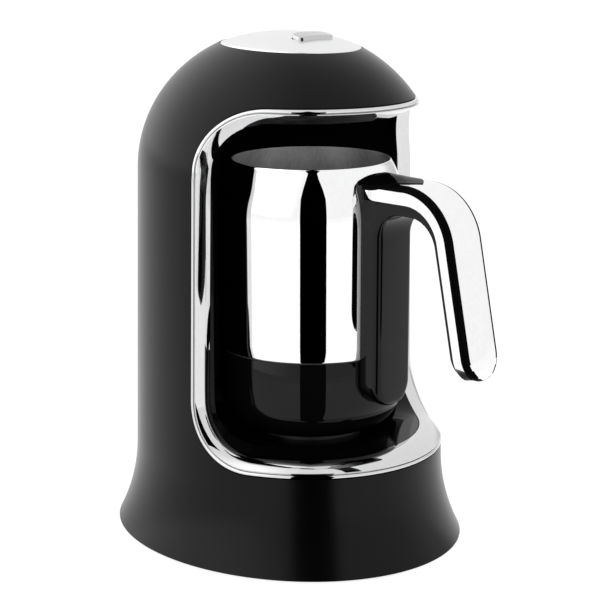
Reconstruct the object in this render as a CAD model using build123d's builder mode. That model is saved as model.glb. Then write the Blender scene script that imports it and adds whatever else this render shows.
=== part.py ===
from build123d import *
from math import acos, cos, radians, sin, sqrt
import os

os.makedirs("parts", exist_ok=True)

# An electric coffee maker: a domed housing with an open niche, and a lift-out pot that stands on a
# connector in the niche floor. Millimetres, +Z up, origin on the table under the middle of the
# housing, the open side towards -Y. Heights are measured from the table.

# Housing outline: elliptical sections, as deep as depth_ratio times their width
depth_ratio = 1.16
rim_height = 1.0
foot_half = 84.0
waist_half = 74.2
column_half = 71.4
flare_top = 44.5
dome_start = 186.0
dome_rise = 71.5
shell_wall = 2.6

# Opening of the housing, as its side view shows it
opening_edge_y = -13.6
opening_low = 48.5
opening_high = 225.0
opening_low_radius = 33.0
opening_high_radius = 30.0
opening_clearance = 0.15

# Mouth of the niche, where the frame ends and the liner starts
niche_edge_y = -16.6
niche_low = 55.7
niche_high = 216.7
niche_low_radius = 26.0
niche_high_radius = 22.0
mouth_inset = 8.6
mouth_ratio = 1.112
liner_wall = 2.0
liner_clearance = 0.4
pocket_radius = 60.0
pocket_corner = 20.0

# Frame round the opening
bead_width = 2.2
bead_proud = 0.4
trim_wall = 1.8
arc_stations = 8
side_stations = 3

# Pot, on its own axis
pot_y = -18.9
pot_turn = 5.6
pot_radius = 47.3
pot_wall = 1.0
pot_mouth_radius = 39.7
pot_mouth_height = 194.5
pot_shoulder_height = 27.0
pot_seam_height = 101.0
pot_spigot_depth = 7.0
pot_spigot_radius = 44.0
base_radius = 46.4
base_wall = 2.2
base_corner = 18.0
base_height = 59.0
base_hole_radius = 19.4
seal_thickness = 0.8

# Connector: the tower stands in the socket, the plug hangs in the pot's base
seat_gap = 0.2
running_clearance = 0.08
socket_radius = 23.3
socket_flange_radius = 26.0
socket_bottom = 36.0
socket_pocket_radius = 18.0
socket_pocket_top = 42.0
journal_radius = 15.0
tower_radius = 13.0
tower_top = 70.0
tower_flange_radius = 17.0
tower_flange = 1.0
tower_bottom = 37.4
clip_groove_low = 39.4
clip_groove_radius = 13.0
clip_thickness = 1.4
clip_radius = 17.4
pin_radius = 2.4
pin_bottom = 57.0
pin_hole_radius = 3.3
pin_hole_bottom = 52.0
ring_inner = 7.0
ring_outer = 8.0
ring_bottom = 62.0
ring_groove_gap = 0.6
ring_groove_bottom = 60.0
plug_radius = 19.2
plug_bottom = 59.4
plug_top = 78.0
plug_roof = 3.5
plug_flange_radius = 20.9
plug_flange = 2.0
plug_gap = 0.8
nut_radius = 27.5
nut_thickness = 4.0

# Heating
heater_radius = 39.0
heater_thickness = 3.0
element_ring_radius = 33.0
element_radius = 3.3
element_sweep = 320.0
thermostat_radius = 13.0
fuse_radius = 2.0
fuse_length = 16.0
fuse_offset = 17.0
stud_circle = 25.2
stud_radius = 3.2
stud_low = 65.0
stud_count = 3

# Handle, in the plane through the pot's axis: reach from the axis and height
handle_width = 25.0
spine_reach = 55.5
spine_low = 77.5
spine_high = 190.6
spine_corner = 4.5
spine_root_reach = 41.5
spine_root_radius = 6.5
spine_inner_reach = 40.0
handle_gap = 0.1
grip_slant = 11.8
grip_top = 189.6
grip_root_reach = 48.0
grip_outer_centre_reach = 71.1
grip_outer_radius = 30.0
grip_edge_centre_reach = 73.1
grip_edge_radius = 20.0
grip_edge_height = 180.5
grip_inner_centre_reach = 75.7
grip_inner_radius = 16.0
arm_underside = 175.3
arm_corner = 12.5
grip_tip_height = 101.5
inlay_start = 44.0
inlay_tip = 73.4
inlay_width = 23.0
inlay_fullness = 0.78
inlay_thickness = 1.8
inlay_proud = 0.6
bracket_thickness = 1.5
bracket_half_angle = 8.0
bracket_low = 108.0
bracket_high = 172.0
lug_width = 10.0
lug_reach = 54.0
lug_height = 6.0
handle_screw_reach = 51.2

# Cap, button and what it presses
cap_y = -3.0
cap_half_width = 33.0
cap_half_depth = 38.2
cap_crown = 256.0
cap_radius = 85.8
cap_wall = 2.0
cap_clearance = 0.25
cap_skirt = 1.6
ledge_height = 243.5
ledge_thickness = 2.5
ledge_width = 3.0
button_y = -20.0
button_length = 23.0
button_width = 9.2
button_proud = 2.2
button_gap = 0.35
button_travel = 1.2
guide_wall = 1.4
guide_low = 244.6
button_flange = 2.2
button_flange_margin = 1.7
stem_radius = 2.0
board_low = 231.0
board_thickness = 1.6
board_length = 52.0
board_width = 40.0
board_y = -14.0
board_post_x = 22.0
board_post_offset = 16.0
post_radius = 3.2
switch_side = 7.0
switch_height = 4.4
plunger_radius = 1.7
plunger_gap = 0.2
plunger_height = 4.4
spring_radius = 5.9
spring_wire = 0.6
spring_turns = 5
spring_seat_gap = 0.05
buzzer_radius = 6.0
buzzer_height = 6.0
buzzer_x = 16.0
buzzer_y = -4.0
window_radius = 5.9
window_flange_radius = 7.5
window_flange = 1.2
window_gap = 0.25
sensor_length = 14.0
sensor_width = 10.0

# Underside
plate_low = 1.2
plate_thickness = 2.5
plate_clearance = 0.4
ledge_rib = 2.6
ledge_rib_height = 3.0
rib_gap = 0.2
plate_screw_inset_x = 46.0
plate_screw_inset_y = 45.44
plate_screw_rear_y = 12.0
cup_radius = 5.2
cup_height = 6.0
screw_radius = 1.5
screw_hole_gap = 0.2
head_radius = 2.7
head_height = 1.8
head_gap = 0.4
boss_radius = 4.2
boss_screw_depth = 14.0
foot_inset_x = 34.0
foot_inset_y = 37.0
foot_radius = 7.0
foot_height = 2.4
foot_plug_radius = 3.0
foot_gap = 0.1

# Rear column: boards, terminals and looms
gland_height = 16.0
gland_radius = 6.0
gland_bore = 3.5
gland_inner_y = 80.0
gland_outer_y = 97.0
gland_flange_radius = 8.5
gland_flange = 2.0
power_board_y = 50.0
power_board_low = 76.0
power_board_height = 84.0
power_board_width = 64.0
power_post_margin = 8.0
power_post_start = 38.0
small_screw_radius = 1.2
small_screw_depth = 8.0
small_head_radius = 2.5
relay_size = (20.0, 16.0, 20.0)
relay_x = -16.0
relay_drop = 22.0
capacitor_size = (18.0, 12.0, 26.0)
capacitor_x = 17.0
capacitor_drop = 28.0
terminal_size = (26.0, 16.0, 14.0)
terminal_y = 58.0
loom_radius = 2.0
mains_loom_radius = 2.4
loom_y = 62.0
socket_loom_y = 0.1

reach = 150.0
reveal = 30.0

# Sizes that follow from these
foot_spread = foot_half - waist_half
flare_height = flare_top - rim_height
flare_radius = (flare_height**2 + foot_spread**2) / (2 * foot_spread)
plate_top = plate_low + plate_thickness
socket_top = base_height - seat_gap
board_top = board_low + board_thickness
button_low = guide_low - button_flange
ring_groove_inner = ring_inner - ring_groove_gap
ring_groove_outer = ring_outer + ring_groove_gap
pot_floor_height = pot_seam_height - pot_spigot_depth
pot_body_low = pot_floor_height - heater_thickness
power_board_rear = power_board_y + board_thickness
radial = (sin(radians(pot_turn)), -cos(radians(pot_turn)), 0)
tangent = (cos(radians(pot_turn)), sin(radians(pot_turn)), 0)
pot_axis = Axis((0, pot_y, 0), (0, 0, 1))
section_plane = Plane.XZ.offset(-pot_y)
handle_plane = Plane(origin=(0, pot_y, 0), x_dir=radial, z_dir=(-tangent[0], -tangent[1], 0))
handle_front = Plane(origin=(0, pot_y, 0), x_dir=tangent, z_dir=radial)
slant_cos = cos(radians(grip_slant))
slant_sin = sin(radians(grip_slant))
plate_screw_x = foot_half - plate_screw_inset_x
plate_screw_front_y = plate_screw_inset_y - foot_half * depth_ratio
plate_screws = [
    (side * plate_screw_x, y) for side in (-1, 1) for y in (plate_screw_front_y, plate_screw_rear_y)
]
board_posts = [
    (x, board_y + y)
    for x in (-board_post_x, board_post_x)
    for y in (-board_post_offset, board_post_offset)
]
power_board_top = power_board_low + power_board_height
power_posts = [
    (x, z)
    for x in (-board_post_x, board_post_x)
    for z in (power_board_low + power_post_margin, power_board_top - power_post_margin)
]


def finish(builder, name):
    """Label a finished piece and write its file."""
    builder.part.label = name
    export_step(builder.part, f"parts/{name}.step")


def pot_level(height):
    """Plane across the pot at a height, with the handle towards its -Y."""
    return Plane(origin=(0, pot_y, height), x_dir=tangent, z_dir=(0, 0, 1))


def half_width(z, inset=0.0):
    """Half the housing's width at height z, on the surface that lies inset inside the outer one."""
    if z < flare_top:
        swing = flare_radius + inset
        return waist_half + flare_radius - sqrt(swing**2 - (flare_top - z) ** 2)
    if z < dome_start:
        share = (z - flare_top) / (dome_start - flare_top)
        return waist_half - inset + (column_half - waist_half) * share
    rise = (z - dome_start) / (dome_rise - inset)
    return (column_half - inset) * sqrt(1 - rise**2)


def outline_solid(inset, ratio=depth_ratio):
    """The housing's outline as a solid: foot flare, column and dome, inset inside the outer surface."""
    middle = (rim_height + flare_top) / 2
    foot = (half_width(rim_height, inset), rim_height)
    waist = (waist_half - inset, flare_top)
    shoulder = (column_half - inset, dome_start)
    with BuildPart() as outline:
        with BuildSketch(Plane.XZ):
            with BuildLine():
                ThreePointArc(foot, (half_width(middle, inset), middle), waist)
                Line(waist, shoulder)
                EllipticalCenterArc(
                    (0, dome_start), column_half - inset, dome_rise - inset, start_angle=0, arc_size=90
                )
                Polyline((0, dome_start + dome_rise - inset), (0, rim_height), foot)
            make_face()
        revolve(axis=Axis.Z)
        scale(by=(1, ratio, 1), about=(0, 0, 0))
    return outline.part


def opening_solid(edge_y, low, high, low_radius, high_radius):
    """Everything in front of a C-shaped side view, right across the housing."""
    with BuildPart() as prism:
        with BuildSketch(Plane.YZ):
            with BuildLine():
                edge = FilletPolyline(
                    (-reach, low),
                    (edge_y, low),
                    (edge_y, high),
                    (-reach, high),
                    radius=(low_radius, high_radius),
                )
                Line(edge @ 1, edge @ 0)
            make_face()
        extrude(amount=reach, both=True)
    return prism.part


def niche_solid(growth):
    """The space of the niche: its open front and the round pocket behind the pot, grown by growth."""
    low = niche_low - growth
    high = niche_high + growth
    side = pocket_radius + growth
    corner = pocket_corner + growth
    with BuildPart() as niche:
        add(
            opening_solid(
                niche_edge_y + growth, low, high, niche_low_radius + growth, niche_high_radius + growth
            )
        )
        with BuildSketch(section_plane):
            with BuildLine():
                wall = FilletPolyline(
                    (0, low), (side, low), (side, high), (0, high), radius=(corner, corner)
                )
                Line(wall @ 1, wall @ 0)
            make_face()
        revolve(axis=pot_axis)
    return niche.part


def cap_dome(growth):
    """The shallow dome that the cap's outside follows, grown by growth."""
    with BuildPart() as dome:
        with Locations((0, 0, cap_crown - cap_radius)):
            Sphere(cap_radius + growth)
        scale(by=(1, depth_ratio, 1), about=(0, 0, 0))
    return dome.part


def rim_points(edge_y, low, high, low_radius, high_radius, inset, ratio):
    """Points round the right half of an opening's edge, from bottom middle to top middle."""
    points = []
    for z, radius, turn in ((low, low_radius, 1), (high, high_radius, -1)):
        half = half_width(z, inset)
        start = acos((radius - edge_y) / (half * ratio))
        front = [
            (half * sin(start * k / arc_stations), -half * ratio * cos(start * k / arc_stations), z)
            for k in range(arc_stations + 1)
        ]
        centre_y = edge_y - radius
        centre_z = z + turn * radius
        corner = []
        for k in range(1, arc_stations + 1):
            angle = radians(90 * k / arc_stations)
            y = centre_y + radius * sin(angle)
            height = centre_z - turn * radius * cos(angle)
            wide = half_width(height, inset)
            corner.append((wide * sqrt(1 - (y / (wide * ratio)) ** 2), y, height))
        points.append(front + corner)
    bottom, top = points
    side = []
    for k in range(1, side_stations + 1):
        share = k / (side_stations + 1)
        height = bottom[-1][2] + (top[-1][2] - bottom[-1][2]) * share
        wide = half_width(height, inset)
        side.append((wide * sqrt(1 - (edge_y / (wide * ratio)) ** 2), edge_y, height))
    return bottom + side + top[::-1]


def ring_solid(points, axis=pot_axis, plane=section_plane):
    """A turned piece: a closed outline of radius and height, revolved about the pot's axis."""
    with BuildPart() as ring:
        with BuildSketch(plane):
            with BuildLine():
                Polyline(*points, close=True)
            make_face()
        revolve(axis=axis)
    return ring.part


# ---------------------------------------------------------------- housing
outer_solid = outline_solid(0)
mouth_solid = outline_solid(mouth_inset + liner_clearance, mouth_ratio)

# The shell is one moulding, with a ledge under the cap and an inner rib that the base plate meets
with BuildPart() as shell_cavity:
    add(outline_solid(shell_wall))
    with BuildSketch(Plane.XY.offset(plate_top + rib_gap)):
        Rectangle(2 * reach, 2 * reach)
    extrude(amount=ledge_rib_height, mode=Mode.SUBTRACT)
with BuildPart() as rib_cavity:
    with BuildSketch(Plane.XY.offset(plate_top)):
        Rectangle(2 * reach, 2 * reach)
    extrude(amount=ledge_rib_height + 2 * rib_gap)
    add(outline_solid(shell_wall + ledge_rib), mode=Mode.INTERSECT)
with BuildPart() as cap_ledge:
    with BuildSketch(Plane.XY.offset(ledge_height - ledge_thickness)):
        with Locations((0, cap_y)):
            Ellipse(cap_half_width + ledge_width, cap_half_depth + ledge_width)
    extrude(amount=reveal)
    add(outline_solid(shell_wall / 2), mode=Mode.INTERSECT)
with BuildPart() as outer_shell:
    add(outer_solid)
    add(shell_cavity.part, mode=Mode.SUBTRACT)
    add(rib_cavity.part, mode=Mode.SUBTRACT)
    add(cap_ledge.part)
    with BuildSketch(Plane.XY.offset(ledge_height)):
        with Locations((0, cap_y)):
            Ellipse(cap_half_width + cap_clearance, cap_half_depth + cap_clearance)
    extrude(amount=reveal, mode=Mode.SUBTRACT)
    with BuildSketch(Plane.XY.offset(ledge_height - ledge_thickness)):
        with Locations((0, cap_y)):
            Ellipse(cap_half_width - ledge_width, cap_half_depth - ledge_width)
    extrude(amount=reveal, mode=Mode.SUBTRACT)
    add(
        opening_solid(
            opening_edge_y + opening_clearance,
            opening_low - opening_clearance,
            opening_high + opening_clearance,
            opening_low_radius + opening_clearance,
            opening_high_radius + opening_clearance,
        ),
        mode=Mode.SUBTRACT,
    )
    with BuildSketch(Plane.XZ.offset(-gland_inner_y)):
        with Locations((0, gland_height)):
            Circle(gland_radius + foot_gap)
    extrude(amount=-reveal, mode=Mode.SUBTRACT)
finish(outer_shell, "outer_shell")

# The frame is a bright bead on the housing's edge and a flange that slopes into the niche
bead_edges = (
    (0.0, -bead_proud, depth_ratio),
    (bead_width, -bead_proud, depth_ratio),
)
loops = [
    rim_points(
        opening_edge_y - step,
        opening_low + step,
        opening_high - step,
        opening_low_radius - step,
        opening_high_radius - step,
        inset,
        ratio,
    )
    for step, inset, ratio in bead_edges
]
loops += [
    rim_points(
        niche_edge_y + step,
        niche_low - step,
        niche_high + step,
        niche_low_radius + step,
        niche_high_radius + step,
        mouth_inset,
        mouth_ratio,
    )
    for step in (0.0, trim_wall)
]
trim_sections = [Wire.make_polygon(corners, close=True) for corners in zip(*loops)]
with BuildPart() as opening_trim:
    add(Solid.make_loft(trim_sections, ruled=True))
    mirror(about=Plane.YZ)
finish(opening_trim, "opening_trim")

# The liner is the gloss wall of the niche, with posts for the boards and bosses for the base screws
with BuildPart() as niche_liner:
    add(niche_solid(liner_wall))
    with BuildSketch(Plane.XY.offset(plate_low + cup_height)):
        with Locations(*plate_screws):
            Circle(boss_radius)
    extrude(amount=niche_low + liner_wall - plate_low - cup_height)
    with BuildSketch(Plane.XY.offset(niche_high)):
        with Locations(*board_posts):
            Circle(post_radius)
    extrude(amount=board_low - niche_high)
    with BuildSketch(Plane.XZ.offset(-power_post_start)):
        with Locations(*power_posts):
            Circle(post_radius)
    extrude(amount=power_post_start - power_board_y)
    add(niche_solid(0), mode=Mode.SUBTRACT)
    add(mouth_solid, mode=Mode.INTERSECT)
    with BuildSketch(Plane.XY.offset(plate_low + cup_height)):
        with Locations(*plate_screws):
            Circle(screw_radius + foot_gap)
    extrude(amount=boss_screw_depth, mode=Mode.SUBTRACT)
    with BuildSketch(Plane.XY.offset(board_low)):
        with Locations(*board_posts):
            Circle(small_screw_radius + foot_gap)
    extrude(amount=-small_screw_depth, mode=Mode.SUBTRACT)
    with BuildSketch(Plane.XZ.offset(-power_board_y)):
        with Locations(*power_posts):
            Circle(small_screw_radius + foot_gap)
    extrude(amount=small_screw_depth, mode=Mode.SUBTRACT)
    with BuildSketch(pot_level(niche_low + liner_wall)):
        Circle(socket_radius + rib_gap)
    extrude(amount=-2 * liner_wall, mode=Mode.SUBTRACT)
    with BuildSketch(pot_level(niche_high - liner_wall)):
        Circle(window_radius + window_gap)
    extrude(amount=2 * liner_wall, mode=Mode.SUBTRACT)
finish(niche_liner, "niche_liner")

# ---------------------------------------------------------------- cap and button
with BuildPart() as cap_blank:
    add(cap_dome(0))
    add(cap_dome(-cap_wall), mode=Mode.SUBTRACT)
    with BuildSketch(Plane.XY.offset(ledge_height)):
        with Locations((0, cap_y)):
            Ellipse(cap_half_width, cap_half_depth)
    extrude(amount=reveal, mode=Mode.INTERSECT)
with BuildPart() as cap_underparts:
    with BuildSketch(Plane.XY.offset(ledge_height)):
        with Locations((0, cap_y)):
            Ellipse(cap_half_width, cap_half_depth)
            Ellipse(cap_half_width - cap_skirt, cap_half_depth - cap_skirt, mode=Mode.SUBTRACT)
    extrude(amount=reveal)
    with BuildSketch(Plane.XY.offset(guide_low)):
        with Locations((0, button_y)):
            SlotOverall(
                button_length + 2 * (button_gap + guide_wall), button_width + 2 * (button_gap + guide_wall)
            )
    extrude(amount=reveal)
    add(cap_dome(-cap_wall / 2), mode=Mode.INTERSECT)
with BuildPart() as top_cap:
    add(cap_blank.part)
    add(cap_underparts.part)
    with BuildSketch(Plane.XY.offset(guide_low)):
        with Locations((0, button_y)):
            SlotOverall(button_length + 2 * button_gap, button_width + 2 * button_gap)
    extrude(amount=reveal, mode=Mode.SUBTRACT)
finish(top_cap, "top_cap")

plunger_top = board_top + switch_height + button_travel + plunger_gap
with BuildPart() as button_cap:
    with BuildSketch(Plane.XY.offset(guide_low)):
        with Locations((0, button_y)):
            SlotOverall(button_length, button_width)
    extrude(amount=reveal)
    add(cap_dome(button_proud), mode=Mode.INTERSECT)
    with BuildSketch(Plane.XY.offset(button_low)):
        with Locations((0, button_y)):
            SlotOverall(
                button_length + 2 * button_flange_margin, button_width + 2 * button_flange_margin
            )
    extrude(amount=button_flange)
    with BuildSketch(Plane.XY.offset(plunger_top)):
        with Locations((0, button_y)):
            Circle(stem_radius)
    extrude(amount=button_low - plunger_top)
finish(button_cap, "button_cap")

with BuildPart() as switch_plunger:
    with BuildSketch(Plane.XY.offset(plunger_top)):
        with Locations((0, button_y)):
            Circle(plunger_radius)
    extrude(amount=-plunger_height)
finish(switch_plunger, "switch_plunger")

with BuildPart() as tact_switch:
    with BuildSketch(Plane.XY.offset(board_top)):
        with Locations((0, button_y)):
            Rectangle(switch_side, switch_side)
    extrude(amount=switch_height)
    with BuildSketch(Plane.XY.offset(board_top + switch_height)):
        with Locations((0, button_y)):
            Circle(plunger_radius + plunger_gap)
    extrude(amount=plunger_gap - switch_height, mode=Mode.SUBTRACT)
finish(tact_switch, "tact_switch")

spring_low = board_top + spring_wire / 2 + spring_seat_gap
spring_height = button_low - board_top - spring_wire - 2 * spring_seat_gap
with BuildPart() as button_spring:
    with BuildLine():
        coil = Helix(
            pitch=spring_height / spring_turns,
            height=spring_height,
            radius=spring_radius,
            center=(0, button_y, spring_low),
        )
    with BuildSketch(Plane(coil @ 0, z_dir=coil % 0)):
        Circle(spring_wire / 2)
    sweep(path=coil, is_frenet=True)
finish(button_spring, "button_spring")

with BuildPart() as button_board:
    with BuildSketch(Plane.XY.offset(board_low)):
        with Locations((0, board_y)):
            Rectangle(board_length, board_width)
        with Locations(*board_posts):
            Circle(small_screw_radius + foot_gap, mode=Mode.SUBTRACT)
    extrude(amount=board_thickness)
finish(button_board, "button_board")

with BuildPart() as button_board_screws:
    with BuildSketch(Plane.XY.offset(board_top)):
        with Locations(*board_posts):
            Circle(small_head_radius)
    extrude(amount=head_height)
    with BuildSketch(Plane.XY.offset(board_top)):
        with Locations(*board_posts):
            Circle(small_screw_radius)
    extrude(amount=-small_screw_depth)
finish(button_board_screws, "button_board_screws")

with BuildPart() as buzzer:
    with BuildSketch(Plane.XY.offset(board_top)):
        with Locations((buzzer_x, buzzer_y)):
            Circle(buzzer_radius)
    extrude(amount=buzzer_height)
    with BuildSketch(Plane.XY.offset(board_top + buzzer_height)):
        with Locations((buzzer_x, buzzer_y)):
            Circle(plunger_radius)
    extrude(amount=-buzzer_height / 2, mode=Mode.SUBTRACT)
finish(buzzer, "buzzer")

# The sensor looks down through a window in the ceiling and stops the heater when the foam rises
with BuildPart() as sensor_window:
    with BuildSketch(pot_level(niche_high)):
        Circle(window_radius)
    extrude(amount=liner_wall)
    with BuildSketch(pot_level(niche_high + liner_wall)):
        Circle(window_flange_radius)
    extrude(amount=window_flange)
finish(sensor_window, "sensor_window")

sensor_low = niche_high + liner_wall + window_flange
with BuildPart() as overflow_sensor:
    with BuildSketch(Plane.XY.offset(sensor_low)):
        with Locations((0, pot_y)):
            Rectangle(sensor_length, sensor_width)
    extrude(amount=board_low - sensor_low)
finish(overflow_sensor, "overflow_sensor")

# ---------------------------------------------------------------- underside
foot_x = foot_half - foot_inset_x
foot_y = foot_half * depth_ratio - foot_inset_y
feet = [(x, y) for x in (-foot_x, foot_x) for y in (-foot_y, foot_y)]
with BuildPart() as base_plate:
    with BuildSketch(Plane.XY.offset(plate_low)):
        Rectangle(2 * reach, 2 * reach)
    extrude(amount=plate_thickness)
    add(outline_solid(shell_wall + plate_clearance), mode=Mode.INTERSECT)
    with BuildSketch(Plane.XY.offset(plate_low)):
        with Locations(*plate_screws):
            Circle(cup_radius)
    extrude(amount=cup_height)
    with BuildSketch(Plane.XY.offset(plate_low)):
        with Locations(*plate_screws):
            Circle(head_radius + head_gap)
    extrude(amount=head_height + head_gap, mode=Mode.SUBTRACT)
    with BuildSketch(Plane.XY.offset(plate_low)):
        with Locations(*plate_screws):
            Circle(screw_radius + screw_hole_gap)
        with Locations(*feet):
            Circle(foot_plug_radius + foot_gap)
    extrude(amount=cup_height, mode=Mode.SUBTRACT)
    with BuildSketch(Plane.XY.offset(plate_low)):
        with Locations(*feet):
            Circle(foot_radius + foot_gap)
    extrude(amount=foot_height - plate_low, mode=Mode.SUBTRACT)
finish(base_plate, "base_plate")

with BuildPart() as rubber_feet:
    with BuildSketch(Plane.XY):
        with Locations(*feet):
            Circle(foot_radius)
    extrude(amount=foot_height)
    with BuildSketch(Plane.XY.offset(foot_height)):
        with Locations(*feet):
            Circle(foot_plug_radius)
    extrude(amount=plate_top - foot_height)
finish(rubber_feet, "rubber_feet")

screw_seat = plate_low + head_height + head_gap
with BuildPart() as base_screws:
    with BuildSketch(Plane.XY.offset(screw_seat)):
        with Locations(*plate_screws):
            Circle(head_radius)
    extrude(amount=-head_height)
    with BuildSketch(Plane.XY.offset(screw_seat)):
        with Locations(*plate_screws):
            Circle(screw_radius)
    extrude(amount=boss_screw_depth)
finish(base_screws, "base_screws")

# ---------------------------------------------------------------- rear column
gland_plane = Plane.XZ.offset(-gland_inner_y)
with BuildPart() as gland_flanges:
    with BuildSketch(gland_plane):
        with Locations((0, gland_height)):
            Circle(gland_flange_radius)
    extrude(amount=-reveal)
    add(outline_solid(-gland_flange - rib_gap), mode=Mode.INTERSECT)
    add(outline_solid(-rib_gap), mode=Mode.SUBTRACT)
with BuildPart() as cord_gland:
    add(gland_flanges.part)
    with BuildSketch(gland_plane):
        with Locations((0, gland_height)):
            Circle(gland_radius)
    extrude(amount=gland_inner_y - gland_outer_y)
    with BuildSketch(gland_plane):
        with Locations((0, gland_height)):
            Circle(gland_bore)
    extrude(amount=gland_inner_y - gland_outer_y, mode=Mode.SUBTRACT)
finish(cord_gland, "cord_gland")

with BuildPart() as terminal_block:
    with BuildSketch(Plane.XY.offset(plate_top)):
        with Locations((0, terminal_y)):
            Rectangle(terminal_size[0], terminal_size[1])
    extrude(amount=terminal_size[2])
    fillet(terminal_block.edges().filter_by(Axis.Z), radius=head_height)
finish(terminal_block, "terminal_block")

with BuildPart() as power_board:
    with BuildSketch(Plane.XZ.offset(-power_board_y)):
        with Locations((0, power_board_low + power_board_height / 2)):
            Rectangle(power_board_width, power_board_height)
        with Locations(*power_posts):
            Circle(small_screw_radius + foot_gap, mode=Mode.SUBTRACT)
    extrude(amount=-board_thickness)
finish(power_board, "power_board")

with BuildPart() as power_board_screws:
    with BuildSketch(Plane.XZ.offset(-power_board_rear)):
        with Locations(*power_posts):
            Circle(small_head_radius)
    extrude(amount=-head_height)
    with BuildSketch(Plane.XZ.offset(-power_board_rear)):
        with Locations(*power_posts):
            Circle(small_screw_radius)
    extrude(amount=small_screw_depth)
finish(power_board_screws, "power_board_screws")

for name, size, place in (
    ("power_relay", relay_size, (relay_x, power_board_top - relay_drop)),
    ("mains_capacitor", capacitor_size, (capacitor_x, power_board_top - capacitor_drop)),
):
    with BuildPart() as block:
        with BuildSketch(Plane.XZ.offset(-power_board_rear)):
            with Locations(place):
                Rectangle(size[0], size[2])
        extrude(amount=-size[1])
        fillet(block.edges().filter_by(Axis.Y), radius=head_height)
    finish(block, name)

# Looms run inside the housing, from the terminals to the power board and on to the socket and button
mid_board_y = board_y + board_post_offset
loom_routes = {
    "mains_loom": (
        mains_loom_radius,
        (8.0,),
        ((-8, loom_y, plate_top + terminal_size[2]), (-8, loom_y, 96), (-8, power_board_rear, 96)),
    ),
    "control_loom": (
        loom_radius,
        (6.0, 12.0, 5.0),
        (
            (0, power_board_rear, 152),
            (0, loom_y - 2, 152),
            (0, loom_y - 2, 224),
            (0, mid_board_y, 224),
            (0, mid_board_y, board_low),
        ),
    ),
    "socket_loom": (
        loom_radius,
        (6.0, 12.0, 8.0),
        (
            (8, socket_loom_y, socket_bottom),
            (8, socket_loom_y, 23),
            (8, loom_y, 23),
            (8, loom_y, 96),
            (8, power_board_rear, 96),
        ),
    ),
}
for name, (radius, bends, route) in loom_routes.items():
    with BuildPart() as loom:
        with BuildLine():
            run = FilletPolyline(*route, radius=bends)
        with BuildSketch(Plane(run @ 0, z_dir=run % 0)):
            Circle(radius)
        sweep(path=run)
    finish(loom, name)

# ---------------------------------------------------------------- connector in the niche floor
with BuildPart() as socket_body:
    add(
        ring_solid(
            (
                (journal_radius + running_clearance, socket_pocket_top),
                (journal_radius + running_clearance, socket_top),
                (socket_flange_radius, socket_top),
                (socket_flange_radius, niche_low),
                (socket_radius, niche_low),
                (socket_radius, socket_bottom),
                (socket_pocket_radius, socket_bottom),
                (socket_pocket_radius, socket_pocket_top),
            )
        )
    )
finish(socket_body, "socket_body")

with BuildPart() as socket_nut:
    with BuildSketch(pot_level(niche_low - liner_wall)):
        RegularPolygon(nut_radius, 6)
        Circle(socket_radius + foot_gap, mode=Mode.SUBTRACT)
    extrude(amount=-nut_thickness)
finish(socket_nut, "socket_nut")

with BuildPart() as socket_tower:
    add(
        ring_solid(
            (
                (0, tower_bottom),
                (clip_groove_radius + 1, tower_bottom),
                (clip_groove_radius + 1, clip_groove_low),
                (clip_groove_radius, clip_groove_low),
                (clip_groove_radius, clip_groove_low + clip_thickness + rib_gap),
                (journal_radius, clip_groove_low + clip_thickness + rib_gap),
                (journal_radius, socket_top),
                (tower_flange_radius, socket_top),
                (tower_flange_radius, socket_top + tower_flange),
                (tower_radius, socket_top + tower_flange),
                (tower_radius, tower_top),
                (0, tower_top),
            )
        )
    )
    with BuildSketch(pot_level(tower_top)):
        Circle(pin_hole_radius)
    extrude(amount=pin_hole_bottom - tower_top, mode=Mode.SUBTRACT)
    with BuildSketch(pot_level(tower_top)):
        Circle(ring_groove_outer)
        Circle(ring_groove_inner, mode=Mode.SUBTRACT)
    extrude(amount=ring_groove_bottom - tower_top, mode=Mode.SUBTRACT)
finish(socket_tower, "socket_tower")

with BuildPart() as socket_contacts:
    with BuildSketch(pot_level(pin_hole_bottom)):
        Circle(pin_hole_radius - foot_gap)
    extrude(amount=pin_bottom - pin_hole_bottom)
    with BuildSketch(pot_level(ring_groove_bottom)):
        Circle(ring_groove_outer - foot_gap)
        Circle(ring_groove_inner + foot_gap, mode=Mode.SUBTRACT)
    extrude(amount=ring_bottom - ring_groove_bottom)
finish(socket_contacts, "socket_contacts")

with BuildPart() as socket_clip:
    with BuildSketch(pot_level(clip_groove_low + foot_gap)):
        Circle(clip_radius)
        Circle(clip_groove_radius + foot_gap, mode=Mode.SUBTRACT)
    extrude(amount=clip_thickness)
finish(socket_clip, "socket_clip")

# ---------------------------------------------------------------- pot
def vessel_line(growth):
    """Reach and height along the vessel's side, from the seam to the mouth, grown outwards by growth."""
    rise = pot_shoulder_height
    pull = pot_radius - pot_mouth_radius
    swing = (rise**2 + pull**2) / (2 * pull)
    start = pot_mouth_height - rise
    half_rise = rise / 2
    half_reach = pot_radius - swing + sqrt(swing**2 - half_rise**2)
    return (
        (pot_radius + growth, start),
        (half_reach + growth, start + half_rise),
        (pot_mouth_radius + growth, pot_mouth_height),
    )


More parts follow.
